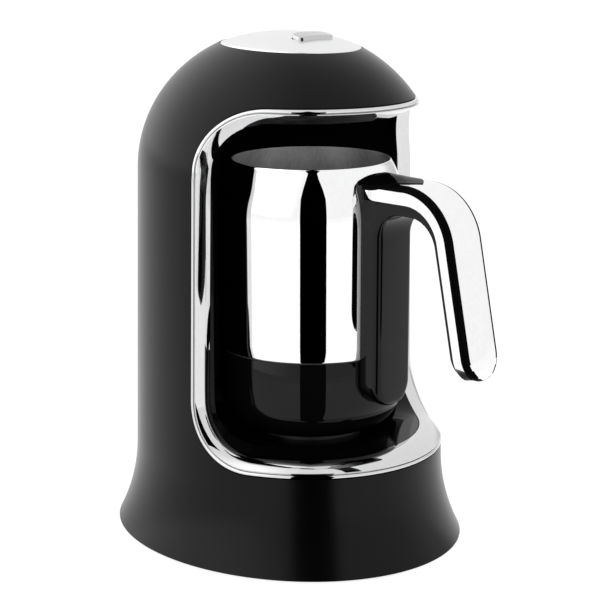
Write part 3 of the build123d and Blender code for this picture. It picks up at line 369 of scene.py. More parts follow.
def surface_grain():
    """Node group: fine moulded or polished grain. It gives a colour that wanders a little in shade, a
    roughness that wanders between two values, and a height for the bump."""
    group = bpy.data.node_groups.new("surface_grain", "ShaderNodeTree")
    for way, kind, names in (
        ("INPUT", "NodeSocketColor", ("Colour",)),
        ("INPUT", "NodeSocketFloat", ("Mottle", "Scale", "Least", "Most")),
        ("OUTPUT", "NodeSocketColor", ("Colour",)),
        ("OUTPUT", "NodeSocketFloat", ("Roughness", "Height")),
    ):
        for name in names:
            group.interface.new_socket(name, in_out=way, socket_type=kind)
    given = new_node(group, "NodeGroupInput")
    result = new_node(group, "NodeGroupOutput")
    place = new_node(group, "ShaderNodeTexCoord")
    grain = new_node(group, "ShaderNodeTexNoise", {"Detail": 3.0})
    cloud = new_node(group, "ShaderNodeTexNoise", {"Scale": 14.0, "Detail": 2.0})
    spread = new_node(group, "ShaderNodeMapRange", {"From Min": 0.35, "From Max": 0.65})
    least_shade = new_node(group, "ShaderNodeMath", {0: 1.0}, operation="SUBTRACT")
    shade = new_node(group, "ShaderNodeMapRange", {"From Min": 0.3, "From Max": 0.7, "To Max": 1.0})
    tint = new_node(group, "ShaderNodeVectorMath", operation="SCALE")
    link(
        group,
        (place, "Object", grain, "Vector"),
        (given, "Scale", grain, "Scale"),
        (grain, "Fac", result, "Height"),
        (given, "Mottle", least_shade, 1),
        (least_shade, "Value", shade, "To Min"),
        (grain, "Fac", shade, "Value"),
        (given, "Colour", tint, "Vector"),
        (shade, "Result", tint, "Scale"),
        (tint, "Vector", result, "Colour"),
        (place, "Object", cloud, "Vector"),
        (cloud, "Fac", spread, "Value"),
        (given, "Least", spread, "To Min"),
        (given, "Most", spread, "To Max"),
        (spread, "Result", result, "Roughness"),
    )
    return group


grain_group = surface_grain()
BUMP_DEPTH = 0.1 * MILLIMETRE


def grained(name, colour, metallic, least, most, scale, bump, specular=0.5, clear=0.0, mottle=0.04):
    """A material with a grain: its roughness wanders between least and most, its shade by mottle."""
    material, tree, shader = plain_material(
        name, {"Metallic": metallic, "Specular IOR Level": specular, "Transmission Weight": clear}
    )
    values = {"Colour": (*colour, 1.0), "Mottle": mottle, "Scale": scale, "Least": least, "Most": most}
    grain = new_node(tree, "ShaderNodeGroup", values, node_tree=grain_group)
    relief = new_node(tree, "ShaderNodeBump", {"Strength": bump, "Distance": BUMP_DEPTH})
    link(
        tree,
        (grain, "Colour", shader, "Base Color"),
        (grain, "Roughness", shader, "Roughness"),
        (grain, "Height", relief, "Height"),
        (relief, "Normal", shader, "Normal"),
    )
    return material


satin_black = grained(
    "satin_black_plastic", (0.0006, 0.0006, 0.0006), 0.0, 0.22, 0.27, 1500.0, 0.06, specular=0.17
)
shell_mesh = turned(outline_points(0.0) + outline_points(SHELL_WALL)[::-1], TURN_STEPS)
bmesh.ops.scale(shell_mesh, vec=(1, DEPTH_RATIO, 1), verts=shell_mesh.verts)
shell = object_from(shell_mesh, "housing_shell")

REACH = 150.0
OPENING_FRONT = -160.0
SIDE_STEPS = 24
opening = [(OPENING_FRONT, OPENING_LOW)]
for angle in quarter(SIDE_STEPS):
    y = OPENING_EDGE_Y - OPENING_LOW_RADIUS + OPENING_LOW_RADIUS * sin(angle)
    opening.append((y, OPENING_LOW + OPENING_LOW_RADIUS * (1 - cos(angle))))
for angle in quarter(SIDE_STEPS):
    y = OPENING_EDGE_Y - OPENING_HIGH_RADIUS + OPENING_HIGH_RADIUS * cos(angle)
    opening.append((y, OPENING_HIGH - OPENING_HIGH_RADIUS * (1 - sin(angle))))
opening.append((OPENING_FRONT, OPENING_HIGH))
opening_mesh = extruded([(-REACH, y, z) for y, z in opening], (2 * REACH, 0, 0))
opening_cutter = object_from(opening_mesh, "opening_cutter")

CAP_CUTTER_MIDDLE = 255.0
CAP_CUTTER_HEIGHT = 40.0
CAP_POINTS = 160
cap_hole = bmesh.new()
bmesh.ops.create_cone(
    cap_hole, cap_ends=True, segments=CAP_POINTS, radius1=1.0, radius2=1.0, depth=CAP_CUTTER_HEIGHT
)
oval = (CAP_HALF_WIDTH + CAP_GAP, CAP_HALF_DEPTH + CAP_GAP, 1)
bmesh.ops.scale(cap_hole, vec=oval, verts=cap_hole.verts)
bmesh.ops.translate(cap_hole, vec=(0, CAP_Y, CAP_CUTTER_MIDDLE), verts=cap_hole.verts)
cut_away(shell, opening_cutter, object_from(cap_hole, "cap_cutter"))
dress(shell, satin_black, "housing", "satin_black", "outer_shell")

# -------------------------------- frame round the opening
# A bright plated moulding: a round bead on the housing's edge, a fine groove, and a flange that slopes
# into the niche. It is drawn as lines round the opening, from the bead's outside to the niche's mouth.
NICHE_EDGE_Y = -16.6
NICHE_LOW = 55.7
NICHE_HIGH = 216.7
NICHE_LOW_RADIUS = 26.0
NICHE_HIGH_RADIUS = 22.0
MOUTH_INSET = 8.6
MOUTH_RATIO = 1.112
FRAME_WALL = 1.8
ARC_STEPS = 22
# Each line of the bead: how far it lies in from the opening's edge, and how deep under the surface
BEAD_LINES = (
    (0.45, 1.4), (0.45, 0.3), (0.55, -0.05), (0.8, -0.3), (1.15, -0.38), (1.55, -0.33),
    (1.95, -0.1), (2.15, 0.3), (2.2, 0.8), (2.45, 0.8), (2.5, 0.35), (2.75, 0.1), (3.1, 0.15),
)
FLANGE_LINES = 9
BACK_LINES = 4
LOW_FLANGE_SWELL = 1.3
HIGH_FLANGE_SWELL = 0.15
SWELL_LOW = 70.0
SWELL_HIGH = 130.0
OPENING_RIM = (OPENING_EDGE_Y, OPENING_LOW, OPENING_HIGH, OPENING_LOW_RADIUS, OPENING_HIGH_RADIUS)
NICHE_RIM = (NICHE_EDGE_Y, NICHE_LOW, NICHE_HIGH, NICHE_LOW_RADIUS, NICHE_HIGH_RADIUS)


def rim_loop(rim, growth, inset, ratio):
    """A closed line round an opening's rim, grown by growth, on the surface at that inset."""
    edge_y, low, high, low_radius, high_radius = rim
    edge_y += growth
    halves = []
    for z, radius, turn in ((low - growth, low_radius, 1), (high + growth, high_radius, -1)):
        radius += growth
        half = half_width(z, inset)
        start = acos((radius - edge_y) / (half * ratio))
        half_line = []
        for k in range(ARC_STEPS):
            swing = start * k / ARC_STEPS
            half_line.append(Vector((half * sin(swing), -half * ratio * cos(swing), z)))
        for angle in quarter(ARC_STEPS):
            y = edge_y - radius + radius * sin(angle)
            height = z + turn * radius * (1 - cos(angle))
            wide = half_width(height, inset)
            half_line.append(Vector((wide * sqrt(1 - (y / (wide * ratio)) ** 2), y, height)))
        halves.append(half_line)
    bottom, top = halves
    side = []
    for k in range(1, ARC_STEPS):
        height = bottom[-1].z + (top[-1].z - bottom[-1].z) * k / ARC_STEPS
        wide = half_width(height, inset)
        side.append(Vector((wide * sqrt(1 - (edge_y / (wide * ratio)) ** 2), edge_y, height)))
    right = bottom + side + top[::-1]
    left = [Vector((-point.x, point.y, point.z)) for point in right[-2:0:-1]]
    return right + left


def between(first, last, share, low_swell=0.0, high_swell=0.0):
    """The line a share of the way from the first line of points to the last, swollen to the front by
    one height along its lower run, by another along its upper one, and by a blend at its sides."""
    line = []
    for k, (a, b) in enumerate(zip(first, last)):
        along = first[(k + 1) % len(first)] - first[k - 1]
        normal = along.cross(b - a).normalized()
        level = min(max((a.z - SWELL_LOW) / (SWELL_HIGH - SWELL_LOW), 0.0), 1.0)
        rise = (low_swell + (high_swell - low_swell) * level) * 4 * share * (1 - share)
        line.append(a.lerp(b, share) + (normal if normal.y < 0 else -normal) * rise)
    return line


def skin(loops, ring=False):
    """A mesh whose skin runs through equal loops of points: a circle, laid on the first loop and
    extruded to each next one. A ring joins the last loop to the first, and otherwise the ends close."""
    mesh = bmesh.new()
    circle = bmesh.ops.create_circle(mesh, segments=len(loops[0]), radius=1.0)["verts"]
    for corner, point in zip(circle, loops[0]):
        corner.co = point
    first = front = mesh.edges[:]
    if not ring:
        bmesh.ops.contextual_create(mesh, geom=first)
    for before, after in zip(loops, loops[1:]):
        moves = {Vector(old).to_tuple(4): new for old, new in zip(before, after)}
        grown = bmesh.ops.extrude_edge_only(mesh, edges=front)["geom"]
        corners = [part for part in grown if isinstance(part, bmesh.types.BMVert)]
        edges = [part for part in grown if isinstance(part, bmesh.types.BMEdge)]
        front = [edge for edge in edges if all(end in corners for end in edge.verts)]
        for corner in corners:
            corner.co = moves[corner.co.to_tuple(4)]
    if ring:
        bmesh.ops.bridge_loops(mesh, edges=first + front)
    else:
        bmesh.ops.contextual_create(mesh, geom=front)
    bmesh.ops.recalc_face_normals(mesh, faces=mesh.faces)
    return mesh


bead_lines = [rim_loop(OPENING_RIM, -step, inset, DEPTH_RATIO) for step, inset in BEAD_LINES]
mouth_line = rim_loop(NICHE_RIM, 0.0, MOUTH_INSET, MOUTH_RATIO)
back_line = rim_loop(NICHE_RIM, FRAME_WALL, MOUTH_INSET, MOUTH_RATIO)
flange_lines = [
    between(bead_lines[-1], mouth_line, k / FLANGE_LINES, LOW_FLANGE_SWELL, HIGH_FLANGE_SWELL)
    for k in range(1, FLANGE_LINES + 1)
]
back_lines = [between(back_line, bead_lines[0], k / BACK_LINES) for k in range(BACK_LINES)]
opening_frame = object_from(skin(bead_lines + flange_lines + back_lines, ring=True), "opening_frame")
frame_chrome = grained("frame_chrome", (0.68, 0.68, 0.685), 1.0, 0.02, 0.05, 400.0, 0.012)
dress(opening_frame, frame_chrome, "housing", "frame_chrome", "opening_trim")

# -------------------------------- cap
# A satin silver lid, let into the dome over a thin dark gap, with a pill-shaped hole for the button.
# It is skinned from the hole's edge out to its oval rim, down round its skirt and back underneath.
CAP_CROWN = 256.0
CAP_RADIUS = 85.8
CAP_WALL = 2.0
CAP_SKIRT = 1.6
CAP_SEAT = 243.5
CAP_EDGE = 0.5
GUIDE_LOW = 244.6
BUTTON_Y = -20.0
BUTTON_LENGTH = 23.0
BUTTON_WIDTH = 9.2
BUTTON_GAP = 0.35
GUIDE_WALL = 1.4
HOLE_EDGE = 0.4
TOP_LINES = 14
UNDER_LINES = 6


def dome_height(x, y, growth=0.0):
    """Height of the cap's dome over a point, grown by growth."""
    return CAP_CROWN - CAP_RADIUS + sqrt((CAP_RADIUS + growth) ** 2 - x**2 - (y / DEPTH_RATIO) ** 2)


def full_turn(steps):
    """The angles of a full turn, in equal steps."""
    return [2 * pi * k / steps for k in range(steps)]


def pill_line(length, width):
    """Points round a pill shape about the button's middle, one for each direction."""
    points = []
    for angle in full_turn(CAP_POINTS):
        run = (length - width) / 2
        reach = width / 2
        side = reach / abs(sin(angle)) if abs(sin(angle)) > 0 else 2 * length
        if abs(side * cos(angle)) <= run:
            points.append((side * cos(angle), BUTTON_Y + side * sin(angle)))
            continue
        lean = run * abs(cos(angle))
        out = lean + sqrt(reach**2 - run**2 + lean**2)
        points.append((out * cos(angle), BUTTON_Y + out * sin(angle)))
    return points


def oval_line(shrink):
    """Points round the cap's oval, drawn in by shrink, one for each direction from its middle."""
    wide, deep = CAP_HALF_WIDTH - shrink, CAP_HALF_DEPTH - shrink
    return [(wide * cos(angle), CAP_Y + deep * sin(angle)) for angle in full_turn(CAP_POINTS)]


def on_dome(line, growth=0.0):
    """The line laid on the cap's dome."""
    return [Vector((x, y, dome_height(x, y, growth))) for x, y in line]


def at_height(line, height):
    """The line laid flat at a height."""
    return [Vector((x, y, height)) for x, y in line]


def spread(inner, outer, steps, growth=0.0):
    """Lines on the dome from the inner line to the outer one."""
    lines = []
    for k in range(steps + 1):
        line = [
            (x + (far_x - x) * k / steps, y + (far_y - y) * k / steps)
            for (x, y), (far_x, far_y) in zip(inner, outer)
        ]
        lines.append(on_dome(line, growth))
    return lines


def hole_line(margin):
    """The button's hole, grown by margin."""
    growth = 2 * BUTTON_GAP + 2 * margin
    return pill_line(BUTTON_LENGTH + growth, BUTTON_WIDTH + growth)


hole = hole_line(0.0)
guide = hole_line(GUIDE_WALL)
cap_loops = [at_height(hole, GUIDE_LOW), on_dome(hole, -HOLE_EDGE)]
cap_loops += spread(hole_line(HOLE_EDGE), oval_line(CAP_EDGE), TOP_LINES)
cap_loops += [on_dome(oval_line(CAP_EDGE / 4), -CAP_EDGE / 3), on_dome(oval_line(0.0), -CAP_EDGE)]
cap_loops += [at_height(oval_line(0.0), CAP_SEAT), at_height(oval_line(CAP_SKIRT), CAP_SEAT)]
cap_loops += spread(guide, oval_line(CAP_SKIRT), UNDER_LINES, -CAP_WALL)[::-1]
cap_loops += [at_height(guide, GUIDE_LOW)]
cap = object_from(skin(cap_loops, ring=True), "top_lid")
cap_silver = grained("cap_silver", (0.86, 0.86, 0.865), 1.0, 0.22, 0.30, 2600.0, 0.05)
dress(cap, cap_silver, "housing", "cap_silver", "top_cap", crease=35.0)

# -------------------------------- push button
# A silver pill with rounded edges, standing just proud of the lid. A flange under the lid keeps it in,
# and a short stem presses the switch's plunger.
BUTTON_PROUD = 1.7
BUTTON_ROUND = 0.7
FLANGE_LOW = 242.4
FLANGE_MARGIN = 1.7
STEM_LOW = 238.4
STEM_RADIUS = 2.0
BUTTON_EDGE_STEPS = 6
BUTTON_TOP_MARGINS = (1.6, 2.8, 3.9)


def button_line(margin):
    """The button's outline, drawn in by margin."""
    return pill_line(BUTTON_LENGTH - 2 * margin, BUTTON_WIDTH - 2 * margin)


stem = pill_line(2 * STEM_RADIUS, 2 * STEM_RADIUS)
button_loops = [at_height(stem, STEM_LOW), at_height(stem, FLANGE_LOW)]
button_loops += [at_height(button_line(-FLANGE_MARGIN), height) for height in (FLANGE_LOW, GUIDE_LOW)]
button_loops += [at_height(button_line(0.0), GUIDE_LOW)]
for angle in quarter(BUTTON_EDGE_STEPS):
    rounding = button_line(BUTTON_ROUND * (1 - cos(angle)))
    button_loops.append(on_dome(rounding, BUTTON_PROUD - BUTTON_ROUND * (1 - sin(angle))))
button_loops += [on_dome(button_line(margin), BUTTON_PROUD) for margin in BUTTON_TOP_MARGINS]
button = object_from(skin(button_loops), "push_button")
button_silver = grained("button_silver", (0.56, 0.56, 0.565), 1.0, 0.06, 0.12, 1800.0, 0.03)
dress(button, button_silver, "button", "cap_silver", "button_cap", crease=40.0)

# -------------------------------- pot
# A drawn steel vessel, mirror bright outside and brushed inside, drawn in at its shoulder to a mouth
# with a rolled lip. It is turned from its wall's outline, and its lip is pulled out to a small spout.
POT_RADIUS = 47.3
POT_WALL = 1.0
MOUTH_RADIUS = 39.7
MOUTH_HEIGHT = 194.5
SHOULDER_HEIGHT = 27.0
SEAM_HEIGHT = 101.0
SPIGOT_RADIUS = 44.0
POT_FLOOR = 94.0
SEAM_EDGE = 0.6
SEAM_BEVEL = 0.17
# Where the floor of the pot rounds into its wall: how far in from the spigot, and how far up
FLOOR_CORNER = ((1.0, 4.0), (2.2, 2.0), (5.0, 1.0))
LIP_ROUND = 0.5
LIP_STEPS = 6
WALL_STEPS = 12
SHOULDER_STEPS = 22
SPOUT_PULL = 1.6
SPOUT_SPREAD = radians(16.0)
SPOUT_DROP = 14.0
POT_TURN = radians(5.6)
POT_STEPS = 192
shoulder_pull = POT_RADIUS - MOUTH_RADIUS
shoulder_radius = (SHOULDER_HEIGHT**2 + shoulder_pull**2) / (2 * shoulder_pull)
shoulder_start = MOUTH_HEIGHT - SHOULDER_HEIGHT


def vessel_reach(z):
    """How far the vessel's outside lies from the pot's axis at height z."""
    if z <= shoulder_start:
        return POT_RADIUS
    rise = min(z, MOUTH_HEIGHT) - shoulder_start
    return POT_RADIUS - shoulder_radius + sqrt(shoulder_radius**2 - rise**2)


def on_pot(mesh, name):
    """The object from a mesh drawn about the Z axis, handle to +X, at the pot's place and rest turn."""
    turn = Matrix.Rotation(POT_TURN - pi / 2, 3, "Z")
    bmesh.ops.rotate(mesh, verts=mesh.verts, cent=(0, 0, 0), matrix=turn)
    bmesh.ops.translate(mesh, verts=mesh.verts, vec=(0, POT_Y, 0))
    return object_from(mesh, name)


seam_top = SEAM_HEIGHT + SEAM_EDGE
wall_rise = shoulder_start - seam_top
lip_rise = SHOULDER_HEIGHT - LIP_ROUND
shoulder = [shoulder_start + lip_rise * k / SHOULDER_STEPS for k in range(SHOULDER_STEPS + 1)]
vessel_line = [(SPIGOT_RADIUS, POT_FLOOR), (SPIGOT_RADIUS, SEAM_HEIGHT)]
vessel_line += [(POT_RADIUS - SEAM_EDGE, SEAM_HEIGHT)]
vessel_line += [(POT_RADIUS - SEAM_BEVEL, SEAM_HEIGHT + SEAM_BEVEL)]
vessel_line += [(POT_RADIUS, seam_top + wall_rise * k / WALL_STEPS) for k in range(WALL_STEPS)]
vessel_line += [(vessel_reach(z), z) for z in shoulder]
for k in range(1, LIP_STEPS):
    angle = pi * k / LIP_STEPS
    lip = vessel_reach(shoulder[-1]) - POT_WALL / 2 * (1 - cos(angle))
    vessel_line.append((lip, shoulder[-1] + LIP_ROUND * sin(angle)))
vessel_line += [(vessel_reach(z) - POT_WALL, z) for z in shoulder[::-1]]
vessel_line += [(reach - POT_WALL, SEAM_HEIGHT + POT_WALL) for reach in (POT_RADIUS, SPIGOT_RADIUS)]
vessel_line += [(SPIGOT_RADIUS - inward, POT_FLOOR + up) for inward, up in FLOOR_CORNER]
vessel_line += [(0.0, POT_FLOOR + POT_WALL), (0.0, POT_FLOOR)]
vessel_mesh = turned(vessel_line, POT_STEPS)
for corner in vessel_mesh.verts:
    side = Vector((corner.co.x, corner.co.y))
    height = corner.co.z - (MOUTH_HEIGHT - SPOUT_DROP)
    if height > 0 and side.length >= MOUTH_RADIUS / 2:
        swing = min(abs(side.angle(Vector((0.0, -1.0)))) / SPOUT_SPREAD, 1.0) * pi / 2
        pull = SPOUT_PULL * (height / SPOUT_DROP) ** 2 * cos(swing) ** 2
        corner.co.xy = side * (1 + pull / side.length)
vessel = on_pot(vessel_mesh, "pot_vessel")
pot_steel = grained("pot_steel", (0.93, 0.93, 0.935), 1.0, 0.012, 0.03, 300.0, 0.006)


def brushed_inside_with_painted_sheen():
    """Brushed steel of the pot's inside: fine upright streaks of grain, and a painted reflection, a sheen
    in broad upright bands painted into its colour.
    """
    material, tree, shader = plain_material("pot_inside_steel", {"Metallic": 0.5})
    place = new_node(tree, "ShaderNodeTexCoord")
    stretch = new_node(tree, "ShaderNodeMapping", {"Scale": (1.0, 1.0, 0.02)})
    streaks = new_node(tree, "ShaderNodeTexNoise", {"Scale": 700.0, "Detail": 2.0})
    # Painted reflection: broad upright bands that lighten and darken the colour, standing in for the sheen
    # of the surround in the steel
    sheen = new_node(tree, "ShaderNodeTexNoise", {"Scale": 48.0, "Detail": 0.0})
    blend = new_node(tree, "ShaderNodeMix", {"Factor": 0.75})
    # Colour from dark to bright steel, a quarter from the grain's streaks and three quarters from the
    # painted sheen bands
    shade = new_node(tree, "ShaderNodeValToRGB")
    dark, bright = shade.color_ramp.elements
    dark.position, dark.color = 0.3, (0.30, 0.30, 0.305, 1.0)
    bright.position, bright.color = 0.7, (0.85, 0.85, 0.855, 1.0)
    blur = new_node(tree, "ShaderNodeMapRange", {"To Min": 0.28, "To Max": 0.42})
    link(
        tree,
        (place, "Object", stretch, "Vector"),
        (stretch, "Vector", streaks, "Vector"),
        (stretch, "Vector", sheen, "Vector"),
        (streaks, "Fac", blend, "A"),
        (sheen, "Fac", blend, "B"),
        (blend, "Result", shade, "Fac"),
        (shade, "Color", shader, "Base Color"),
        (streaks, "Fac", blur, "Value"),
        (blur, "Result", shader, "Roughness"),
    )
    return material


dress(vessel, pot_steel, "pot", "pot_steel", "pot_body", crease=40.0)
vessel.data.materials.append(brushed_inside_with_painted_sheen())
pot_middle = Vector((0, POT_Y)) * MILLIMETRE
for face in vessel.data.polygons:
    inward = (face.center.xy - pot_middle).dot(face.normal.xy) < 0
    floor_face = face.normal.z > 0.5 and face.center.z < (SEAM_HEIGHT + 2 * POT_WALL) * MILLIMETRE
    if inward or floor_face:
        face.material_index = 1

# -------------------------------- pot's base
# A gloss black moulded cup round the heater, rounded low down and open in the middle for the plug.
BASE_RADIUS = 46.4
BASE_WALL = 2.2
BASE_CORNER = 18.0
BASE_HEIGHT = 59.0
BASE_HOLE = 19.4
SEAL_THICKNESS = 0.8
BASE_STEPS = 18
CUP_EDGE = 0.5
CUP_BEVEL = 0.15


def cup_line(reach, low, corner):
    """Points from a cup's middle hole out and up round its lower corner."""
    points = [(BASE_HOLE, low)]
    for angle in quarter(BASE_STEPS):
        points.append((reach - corner + corner * sin(angle), low + corner * (1 - cos(angle))))
    return points


cup_top = SEAM_HEIGHT - SEAL_THICKNESS
base_line = cup_line(BASE_RADIUS, BASE_HEIGHT, BASE_CORNER)
base_line += [(BASE_RADIUS, cup_top - CUP_EDGE), (BASE_RADIUS - CUP_BEVEL, cup_top - CUP_BEVEL)]
base_line += [(BASE_RADIUS - CUP_EDGE, cup_top), (BASE_RADIUS - BASE_WALL, cup_top)]
base_line += cup_line(BASE_RADIUS - BASE_WALL, BASE_HEIGHT + BASE_WALL, BASE_CORNER - BASE_WALL)[::-1]
base_mesh = turned(base_line, POT_STEPS)
bmesh.ops.translate(base_mesh, verts=base_mesh.verts, vec=(0, POT_Y, 0))
pot_base = object_from(base_mesh, "pot_base_cup")
gloss_black = grained(
    "gloss_black_plastic", (0.0015, 0.0015, 0.0015), 0.0, 0.03, 0.06, 500.0, 0.01, specular=0.22
)
dress(pot_base, gloss_black, "pot", "gloss_black", "pot_base")

# -------------------------------- handle
# A gloss black spine runs down the pot's side and on as a thin lining under the arm and behind the
# grip. It is skinned in two runs, up the side and out along the arm, that are joined into one.
HANDLE_HALF = 12.5
SPINE_REACH = 57.0
SPINE_LOW = 77.5
SPINE_CORNER = 3.5
ROOT_REACH = 41.5
ROOT_ROUND = 6.5
ROOT_ARCH_LOW = 185.0
ROOT_ARCH_HIGH = 192.3
GRIP_SLANT = radians(11.8)
GRIP_TOP = 189.6
GRIP_ROOT = 48.0
GRIP_OUTER_CENTRE = Vector((71.1, 159.6))
GRIP_OUTER_RADIUS = 30.0
GRIP_EDGE_CENTRE = Vector((73.1, 160.5))
GRIP_EDGE_RADIUS = 20.0
ARM_INNER_CENTRE = Vector((75.7, 159.3))
ARM_INNER_RADIUS = 16.0
ARM_CORNER = 12.5
ARM_EDGE = 1.0
ARM_DEPTH = 9.0
INNER_EDGE = 0.15
SPINE_INNER_EDGE = 0.2
SPINE_SINK = 2.0
SPINE_LEAST = 0.3
FOOT_START = 0.04
SEAM_OVERLAP = 0.01
GRIP_TIP_HEIGHT = 101.5
TIP_OPENING = 0.35
# Sections along each run of the spine, the arm, the bend, the grip and its tip
SIDE_SECTIONS = 14
ROOT_SECTIONS = 3
ARCH_SECTIONS = 13
FAN_SECTIONS = 14
ARM_SECTIONS = 10
BEND_SECTIONS = 26
SLANT_SECTIONS = 16
TIP_SECTIONS = 12
CORNER_STEPS = 7
WIDE_ROUND = 0.98
DEEP_ROUND = 2.02
FAN_LEAST = 0.1
FAN_MARGIN = 0.5


def rounded_section(inner, outer, half, inner_round, outer_round):
    """A closed section between two points in the handle's plane, half wide each way, as points.
    Its two corners at the outer point have one rounding, and its two at the inner point another."""
    away = (outer - inner).normalized()
    points = []
    for side, base, way, rounding in (
        (1, outer, -1, outer_round),
        (-1, outer, -1, outer_round),
        (-1, inner, 1, inner_round),
        (1, inner, 1, inner_round),
    ):
        rounding = min(rounding, half * WIDE_ROUND, (outer - inner).length / DEEP_ROUND)
        corner = []
        for angle in quarter(CORNER_STEPS):
            across = side * (half - rounding + rounding * cos(angle))
            depth = base + away * way * rounding * (1 - sin(angle))
            corner.append(Vector((depth.x, across, depth.y)))
        points += corner if side * way < 0 else corner[::-1]
    return points


def arc_point(centre, radius, angle):
    """The point on an arc in the handle's plane at an angle above its outward direction."""
    return centre + Vector((radius * cos(angle), radius * sin(angle)))


def band_stations(outer_centre, outer_radius, inner_centre, inner_radius, root):
    """Inner and outer points and half widths along the arm, round its bend and down the grip."""
    pairs = []
    low, high = inner_centre.y + inner_radius, outer_centre.y + outer_radius
    for k in range(ARM_SECTIONS):
        reach = root + (min(outer_centre.x, inner_centre.x) - root) * k / ARM_SECTIONS
        pairs.append((Vector((reach, low)), Vector((reach, high))))
    for k in range(BEND_SECTIONS + 1):
        angle = pi / 2 + (GRIP_SLANT - pi / 2) * k / BEND_SECTIONS
        point = arc_point(outer_centre, outer_radius, angle)
        pairs.append((arc_point(inner_centre, inner_radius, angle), point))
    inner_start, outer_start = pairs[-1]
    down = Vector((sin(GRIP_SLANT), -cos(GRIP_SLANT)))
    out = Vector((cos(GRIP_SLANT), sin(GRIP_SLANT)))
    thick = (outer_start - inner_start).dot(out)
    run = (outer_start.y - GRIP_TIP_HEIGHT) / cos(GRIP_SLANT)
    lag = (inner_start - outer_start).dot(down)
    shares = [k / SLANT_SECTIONS * (1 - HANDLE_HALF / run) for k in range(1, SLANT_SECTIONS + 1)]
    placed = [(outer_start + down * run * share, lag * (1 - share), HANDLE_HALF) for share in shares]
    for k in range(1, TIP_SECTIONS + 1):
        angle = pi / 2 * k / (TIP_SECTIONS + TIP_OPENING)
        along = run - HANDLE_HALF * (1 - sin(angle))
        placed.append((outer_start + down * along, 0.0, HANDLE_HALF * cos(angle)))
    widths = [HANDLE_HALF] * len(pairs) + [half for _, _, half in placed]
    pairs += [(point - out * thick + down * lagging, point) for point, lagging, _ in placed]
    return [(inner, outer, half) for (inner, outer), half in zip(pairs, widths)]


def spine_sections():
    """Level sections up the spine, from its round foot to its arched root beside the grip."""
    heights = [SPINE_LOW + FOOT_START]
    heights += [SPINE_LOW + HANDLE_HALF * (1 - cos(angle)) for angle in quarter(TIP_SECTIONS)[1:]]
    arm_seam = GRIP_EDGE_CENTRE.y + GRIP_EDGE_RADIUS
    rise = arm_seam - heights[-1]
    heights += [heights[-1] + rise * k / SIDE_SECTIONS for k in range(1, SIDE_SECTIONS + 1)]
    root = arm_seam + SEAM_OVERLAP
    arch = ROOT_ARCH_HIGH - ROOT_ARCH_LOW
    heights += [root + (ROOT_ARCH_LOW - root) * k / ROOT_SECTIONS for k in range(ROOT_SECTIONS + 1)]
    heights += [ROOT_ARCH_LOW + arch * sin(angle) for angle in quarter(ARCH_SECTIONS)[1:-1]]
    sections = []
    for z in heights:
        drop = max(0.0, SPINE_LOW + HANDLE_HALF - z)
        lift = max(0.0, z - ROOT_ARCH_LOW) / arch
        half = min(sqrt(HANDLE_HALF**2 - drop**2), HANDLE_HALF * sqrt(1 - lift**2))
        sink = SPINE_CORNER - min(z - SPINE_LOW, SPINE_CORNER)
        outer = SPINE_REACH - SPINE_CORNER + sqrt(SPINE_CORNER**2 - sink**2)
        inner = vessel_reach(z) - SPINE_SINK
        if z > arm_seam:
            outer = GRIP_ROOT
        if z > ROOT_ARCH_HIGH - ROOT_ROUND:
            over = z - ROOT_ARCH_HIGH + ROOT_ROUND
            inner = max(inner, ROOT_REACH + ROOT_ROUND - sqrt(ROOT_ROUND**2 - over**2))
        back, front = Vector((min(inner, outer - SPINE_LEAST), 0.0)), Vector((outer, 0.0))
        flat = rounded_section(back, front, half, SPINE_INNER_EDGE, SPINE_CORNER)
        sections.append([Vector((point.x, point.y, z)) for point in flat])
    return sections


def lining_sections():
    """Sections along the arm's lining: its underside springs from the spine in a round corner."""
    under_grip = (GRIP_EDGE_CENTRE, GRIP_EDGE_RADIUS, ARM_INNER_CENTRE, ARM_INNER_RADIUS)
    stations = band_stations(*under_grip, GRIP_ROOT)
    spring = SPINE_REACH + ARM_CORNER
    centre = Vector((spring, ARM_INNER_CENTRE.y + ARM_INNER_RADIUS - ARM_CORNER))
    top = GRIP_EDGE_CENTRE.y + GRIP_EDGE_RADIUS
    sections = []
    for k in range(FAN_SECTIONS + 1):
        angle = pi / 2 * k / FAN_SECTIONS
        away = Vector((-cos(angle), sin(angle)))
        depth = (top - centre.y) / max(sin(angle), FAN_LEAST) - ARM_CORNER
        low = centre + away * ARM_CORNER
        edge = ARM_EDGE + (SPINE_CORNER - ARM_EDGE) * (1 - k / FAN_SECTIONS)
        high = low + away * min(depth, ARM_DEPTH)
        sections.append(rounded_section(low, high, HANDLE_HALF, edge, INNER_EDGE))
    for inner, outer, half in stations:
        if inner.x > spring + FAN_MARGIN:
            sections.append(rounded_section(inner, outer, half, ARM_EDGE, INNER_EDGE))
    return sections


spine = on_pot(skin(spine_sections()), "handle_spine_black")
arm = on_pot(skin(lining_sections()), "arm_lining")
VESSEL_GAP = 0.1
CUTTER_RISE = 5.0
cutter_top = MOUTH_HEIGHT + CUTTER_RISE
cutter_line = [(0.0, BASE_HEIGHT), (POT_RADIUS + VESSEL_GAP, BASE_HEIGHT)]
cutter_line += [(vessel_reach(z) + VESSEL_GAP, z) for z in shoulder]
cutter_line += [(MOUTH_RADIUS, cutter_top), (0.0, cutter_top)]
cut_away(spine, arm, operation="UNION")
cut_away(spine, on_pot(turned(cutter_line, POT_STEPS), "vessel_cutter"))
dress(spine, gloss_black, "pot", "gloss_black", "handle_spine", crease=38.0)
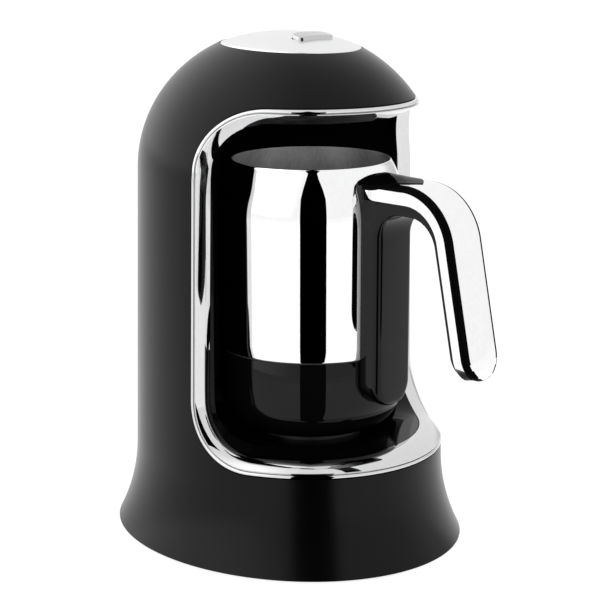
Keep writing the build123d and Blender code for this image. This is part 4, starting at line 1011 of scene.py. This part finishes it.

# The grip is a bright plated shell over the lining, rounded along its outer edges and at its tip. Each
# of those edges is coloured gloss black along its rounding: a painted reflection of the dark surround.
GRIP_START_GAP = 0.1
GRIP_ROUND = 3.0
GRIP_ROOT_ROUND = 5.0
GRIP_INNER_EDGE = 0.3
PAINTED_REFLECTION_MARGIN = 0.12
PAINTED_REFLECTION_START = 52.0
grip_arcs = (GRIP_OUTER_CENTRE, GRIP_OUTER_RADIUS, GRIP_EDGE_CENTRE, GRIP_EDGE_RADIUS)
grip_stations = band_stations(*grip_arcs, GRIP_ROOT + GRIP_START_GAP)
grip_loops = []
for inner, outer, half in grip_stations:
    short = max(0.0, GRIP_ROOT + GRIP_ROOT_ROUND - outer.x)
    lift = GRIP_ROOT_ROUND - sqrt(GRIP_ROOT_ROUND**2 - short**2)
    from_tip = min(HANDLE_HALF - sqrt(HANDLE_HALF**2 - half**2), GRIP_ROUND)
    sink = GRIP_ROUND - sqrt(GRIP_ROUND**2 - (GRIP_ROUND - from_tip) ** 2)
    out = (outer - inner).normalized()
    low, high = inner + out * lift, outer - out * sink
    grip_loops.append(rounded_section(low, high, half, GRIP_INNER_EDGE, GRIP_ROUND))
grip_mesh = skin(grip_loops)
# Painted reflection: faces in each rounded outer edge, out past the line's start, take the black material
# for the dark surround mirrored there
for face in grip_mesh.faces:
    middle = face.calc_center_median()
    spot = middle.xz
    ways = [((inner + outer) / 2 - spot).length for inner, outer, _ in grip_stations]
    inner, outer, half = grip_stations[ways.index(min(ways))]
    depth = (outer - spot).dot((outer - inner).normalized())
    painted_reflection_width = GRIP_ROUND - PAINTED_REFLECTION_MARGIN
    in_painted_reflection = depth < painted_reflection_width and abs(middle.y) > half - painted_reflection_width
    face.material_index = int(in_painted_reflection and spot.x > PAINTED_REFLECTION_START)
grip = on_pot(grip_mesh, "handle_grip_chrome")
grip_chrome = grained("grip_chrome", (0.93, 0.93, 0.935), 1.0, 0.015, 0.04, 350.0, 0.008)
leaf_black = grained("leaf_black", (0.0015, 0.0015, 0.0015), 0.0, 0.05, 0.10, 700.0, 0.02, specular=0.01)
dress(grip, grip_chrome, "pot", "grip_chrome", "handle_grip", crease=40.0)
# The leaf's black is the grip's second material, and it colours the painted reflection along the grip's
# edges
grip.data.materials.append(leaf_black)

# A gloss black leaf lies like a saddle on the root of the grip, hides its screw and ends in a point
LEAF_START = 46.0
LEAF_TIP = 73.4
LEAF_SPREAD = 15.6
LEAF_FULLNESS = 2.6
LEAF_LIFT = 0.3
LEAF_BELOW = 0.8
LEAF_CREST = 2.1
LEAF_CREST_HALF = 11.5
LEAF_CREST_FALL = 1.4
LEAF_RIM = 0.01
LEAF_RIM_POWER = 24
LEAF_END = 0.998
LEAF_ACROSS = 16
LEAF_ALONG = 30


def leaf_point(reach, along_surface, lift):
    """A point over the grip's root, a distance round its section from the top's middle, lifted."""
    side = 1 if along_surface >= 0 else -1
    walk = abs(along_surface)
    flat = HANDLE_HALF - GRIP_ROUND
    corner = GRIP_ROUND * pi / 2
    if walk <= flat:
        across, height = walk, GRIP_TOP + lift
    elif walk <= flat + corner:
        angle = (walk - flat) / GRIP_ROUND
        across = flat + (GRIP_ROUND + lift) * sin(angle)
        height = GRIP_TOP - GRIP_ROUND + (GRIP_ROUND + lift) * cos(angle)
    else:
        across, height = HANDLE_HALF + lift, GRIP_TOP - GRIP_ROUND - (walk - flat - corner)
    share = (reach - LEAF_START) / (LEAF_TIP - LEAF_START)
    crest = LEAF_CREST * (1 - share) ** LEAF_CREST_FALL * max(0.0, 1 - (across / LEAF_CREST_HALF) ** 2)
    return Vector((reach, side * across, height + (crest if lift > 0 else 0.0)))


leaf_loops = []
for angle in quarter(LEAF_ALONG):
    share = sin(angle) * LEAF_END
    reach = LEAF_START + (LEAF_TIP - LEAF_START) * share
    spread_here = LEAF_SPREAD * (1 - share**LEAF_FULLNESS)
    steps = [sin(pi / 2 * step / LEAF_ACROSS) for step in range(-LEAF_ACROSS, LEAF_ACROSS + 1)]
    lifts = [LEAF_LIFT * (1 - step**LEAF_RIM_POWER) + LEAF_RIM for step in steps]
    top = [leaf_point(reach, spread_here * step, lift) for step, lift in zip(steps, lifts)]
    below = [leaf_point(reach, spread_here * step, -LEAF_BELOW) for step in steps]
    leaf_loops.append(top + below[::-1])
leaf = on_pot(skin(leaf_loops), "grip_leaf_black")
dress(leaf, leaf_black, "pot", "gloss_black", "handle_inlay", crease=50.0)

# -------------------------------- parts kept from the frame
# What the frame gives in its right shape stays, in the material of the real part: the niche's liner
# and socket, the base and feet, and the works behind the walls and in the pot's base.
def kept(finish, *names):
    """Give nodes of the frame a better material."""
    for name in names:
        for place in nodes[name].material_slots:
            place.material = finish


liner_black = grained("liner_black", (0.0015, 0.0015, 0.0015), 0.0, 0.05, 0.10, 700.0, 0.02, specular=0.12)
kept(liner_black, "niche_liner")
dark_plastic = grained(
    "dark_moulded_plastic", (0.018, 0.018, 0.02), 0.0, 0.38, 0.52, 1400.0, 0.25, mottle=0.15
)
kept(dark_plastic, "base_plate", "cord_gland", "socket_nut", "plug_body", "socket_body", "socket_tower")
part_black = grained("moulded_part_black", (0.012, 0.012, 0.013), 0.0, 0.5, 0.66, 2200.0, 0.3, mottle=0.2)
kept(part_black, "switch_plunger", "tact_switch", "buzzer", "overflow_sensor", "power_relay")
foot_rubber = grained(
    "foot_rubber", (0.02, 0.02, 0.02), 0.0, 0.75, 0.9, 1800.0, 0.5, specular=0.3, mottle=0.3
)
kept(foot_rubber, "rubber_feet")
seal_silicone = grained("seal_silicone", (0.01, 0.01, 0.01), 0.0, 0.45, 0.6, 900.0, 0.15, mottle=0.1)
kept(seal_silicone, "base_seal")
smoked = grained("smoked_window", (0.10, 0.09, 0.085), 0.0, 0.03, 0.07, 600.0, 0.01, clear=0.7)
kept(smoked, "sensor_window")
steel = grained("zinc_plated_steel", (0.56, 0.56, 0.55), 1.0, 0.22, 0.42, 1600.0, 0.12, mottle=0.18)
kept(steel, "button_board_screws", "base_screws", "power_board_screws", "socket_clip")
kept(steel, "pot_base_screws", "handle_bracket", "handle_screw", "thermal_fuse", "heating_element")
brass = grained("turned_brass", (0.74, 0.50, 0.17), 1.0, 0.16, 0.32, 1300.0, 0.08, mottle=0.15)
kept(brass, "socket_contacts", "plug_pin", "plug_ring")
cast_aluminium = grained("cast_aluminium", (0.70, 0.70, 0.71), 1.0, 0.40, 0.60, 1100.0, 0.45, mottle=0.22)
kept(cast_aluminium, "heater_plate", "mains_capacitor")
ceramic = grained("white_ceramic", (0.80, 0.78, 0.72), 0.0, 0.25, 0.45, 1500.0, 0.12, mottle=0.08)
kept(ceramic, "terminal_block", "thermostat")


def patterned(name, kind, value, scale, low_colour, high_colour, rough, relief):
    """A material whose colour and bump follow a pattern's value between two colours."""
    material, tree, shader = plain_material(name, {"Roughness": rough})
    place = new_node(tree, "ShaderNodeTexCoord")
    pattern = new_node(tree, kind, {"Scale": scale})
    blend = new_node(tree, "ShaderNodeValToRGB")
    low, high = blend.color_ramp.elements
    low.position, low.color = 0.35, (*low_colour, 1.0)
    high.position, high.color = 0.5, (*high_colour, 1.0)
    bump = new_node(tree, "ShaderNodeBump", {"Strength": relief, "Distance": BUMP_DEPTH})
    link(
        tree,
        (place, "Object", pattern, "Vector"),
        (pattern, value, blend, "Fac"),
        (blend, "Color", shader, "Base Color"),
        (pattern, value, bump, "Height"),
        (bump, "Normal", shader, "Normal"),
    )
    return material


# Copper tracks under green lacquer, and the braid of the looms' sleeves
TRACK_SCALE = 260.0
BRAID_SCALE = 900.0
TRACK_GREENS = ((0.004, 0.06, 0.02), (0.012, 0.16, 0.05))
BRAID_GREYS = ((0.01, 0.01, 0.011), (0.06, 0.06, 0.065))
board_green = patterned(
    "circuit_board", "ShaderNodeTexVoronoi", "Distance", TRACK_SCALE, *TRACK_GREENS, 0.35, 0.3
)
kept(board_green, "button_board", "power_board")
sleeve = patterned("braided_sleeve", "ShaderNodeTexWave", "Fac", BRAID_SCALE, *BRAID_GREYS, 0.7, 0.5)
kept(sleeve, "control_loom", "socket_loom", "mains_loom")

# -------------------------------- button spring
# A coil of round spring steel, wound between the switch board and the button's flange, its foot on
# the board. It is drawn at rest as a fixed coil, and does not go down with the button.
SPRING_RADIUS = 5.9
SPRING_WIRE = 0.6
SPRING_TURNS = 5
COIL_STEPS = 36
WIRE_POINTS = 10
spring_low, spring_high = (corner[2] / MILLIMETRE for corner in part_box("button_spring"))
coil_rise = spring_high - spring_low - SPRING_WIRE
coil_loops = []
for k in range(SPRING_TURNS * COIL_STEPS + 1):
    angle = 2 * pi * k / COIL_STEPS
    level = spring_low + SPRING_WIRE / 2 + coil_rise * k / (SPRING_TURNS * COIL_STEPS)
    wire_ring = []
    for turn in full_turn(WIRE_POINTS):
        reach = SPRING_RADIUS + SPRING_WIRE / 2 * cos(turn)
        x, y = reach * cos(angle), BUTTON_Y + reach * sin(angle)
        wire_ring.append(Vector((x, y, level + SPRING_WIRE / 2 * sin(turn))))
    coil_loops.append(wire_ring)
coil = object_from(skin(coil_loops), "coil_spring")
coil.data.materials.append(steel)
coil.data.shade_smooth()
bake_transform(coil)
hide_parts("button_spring")
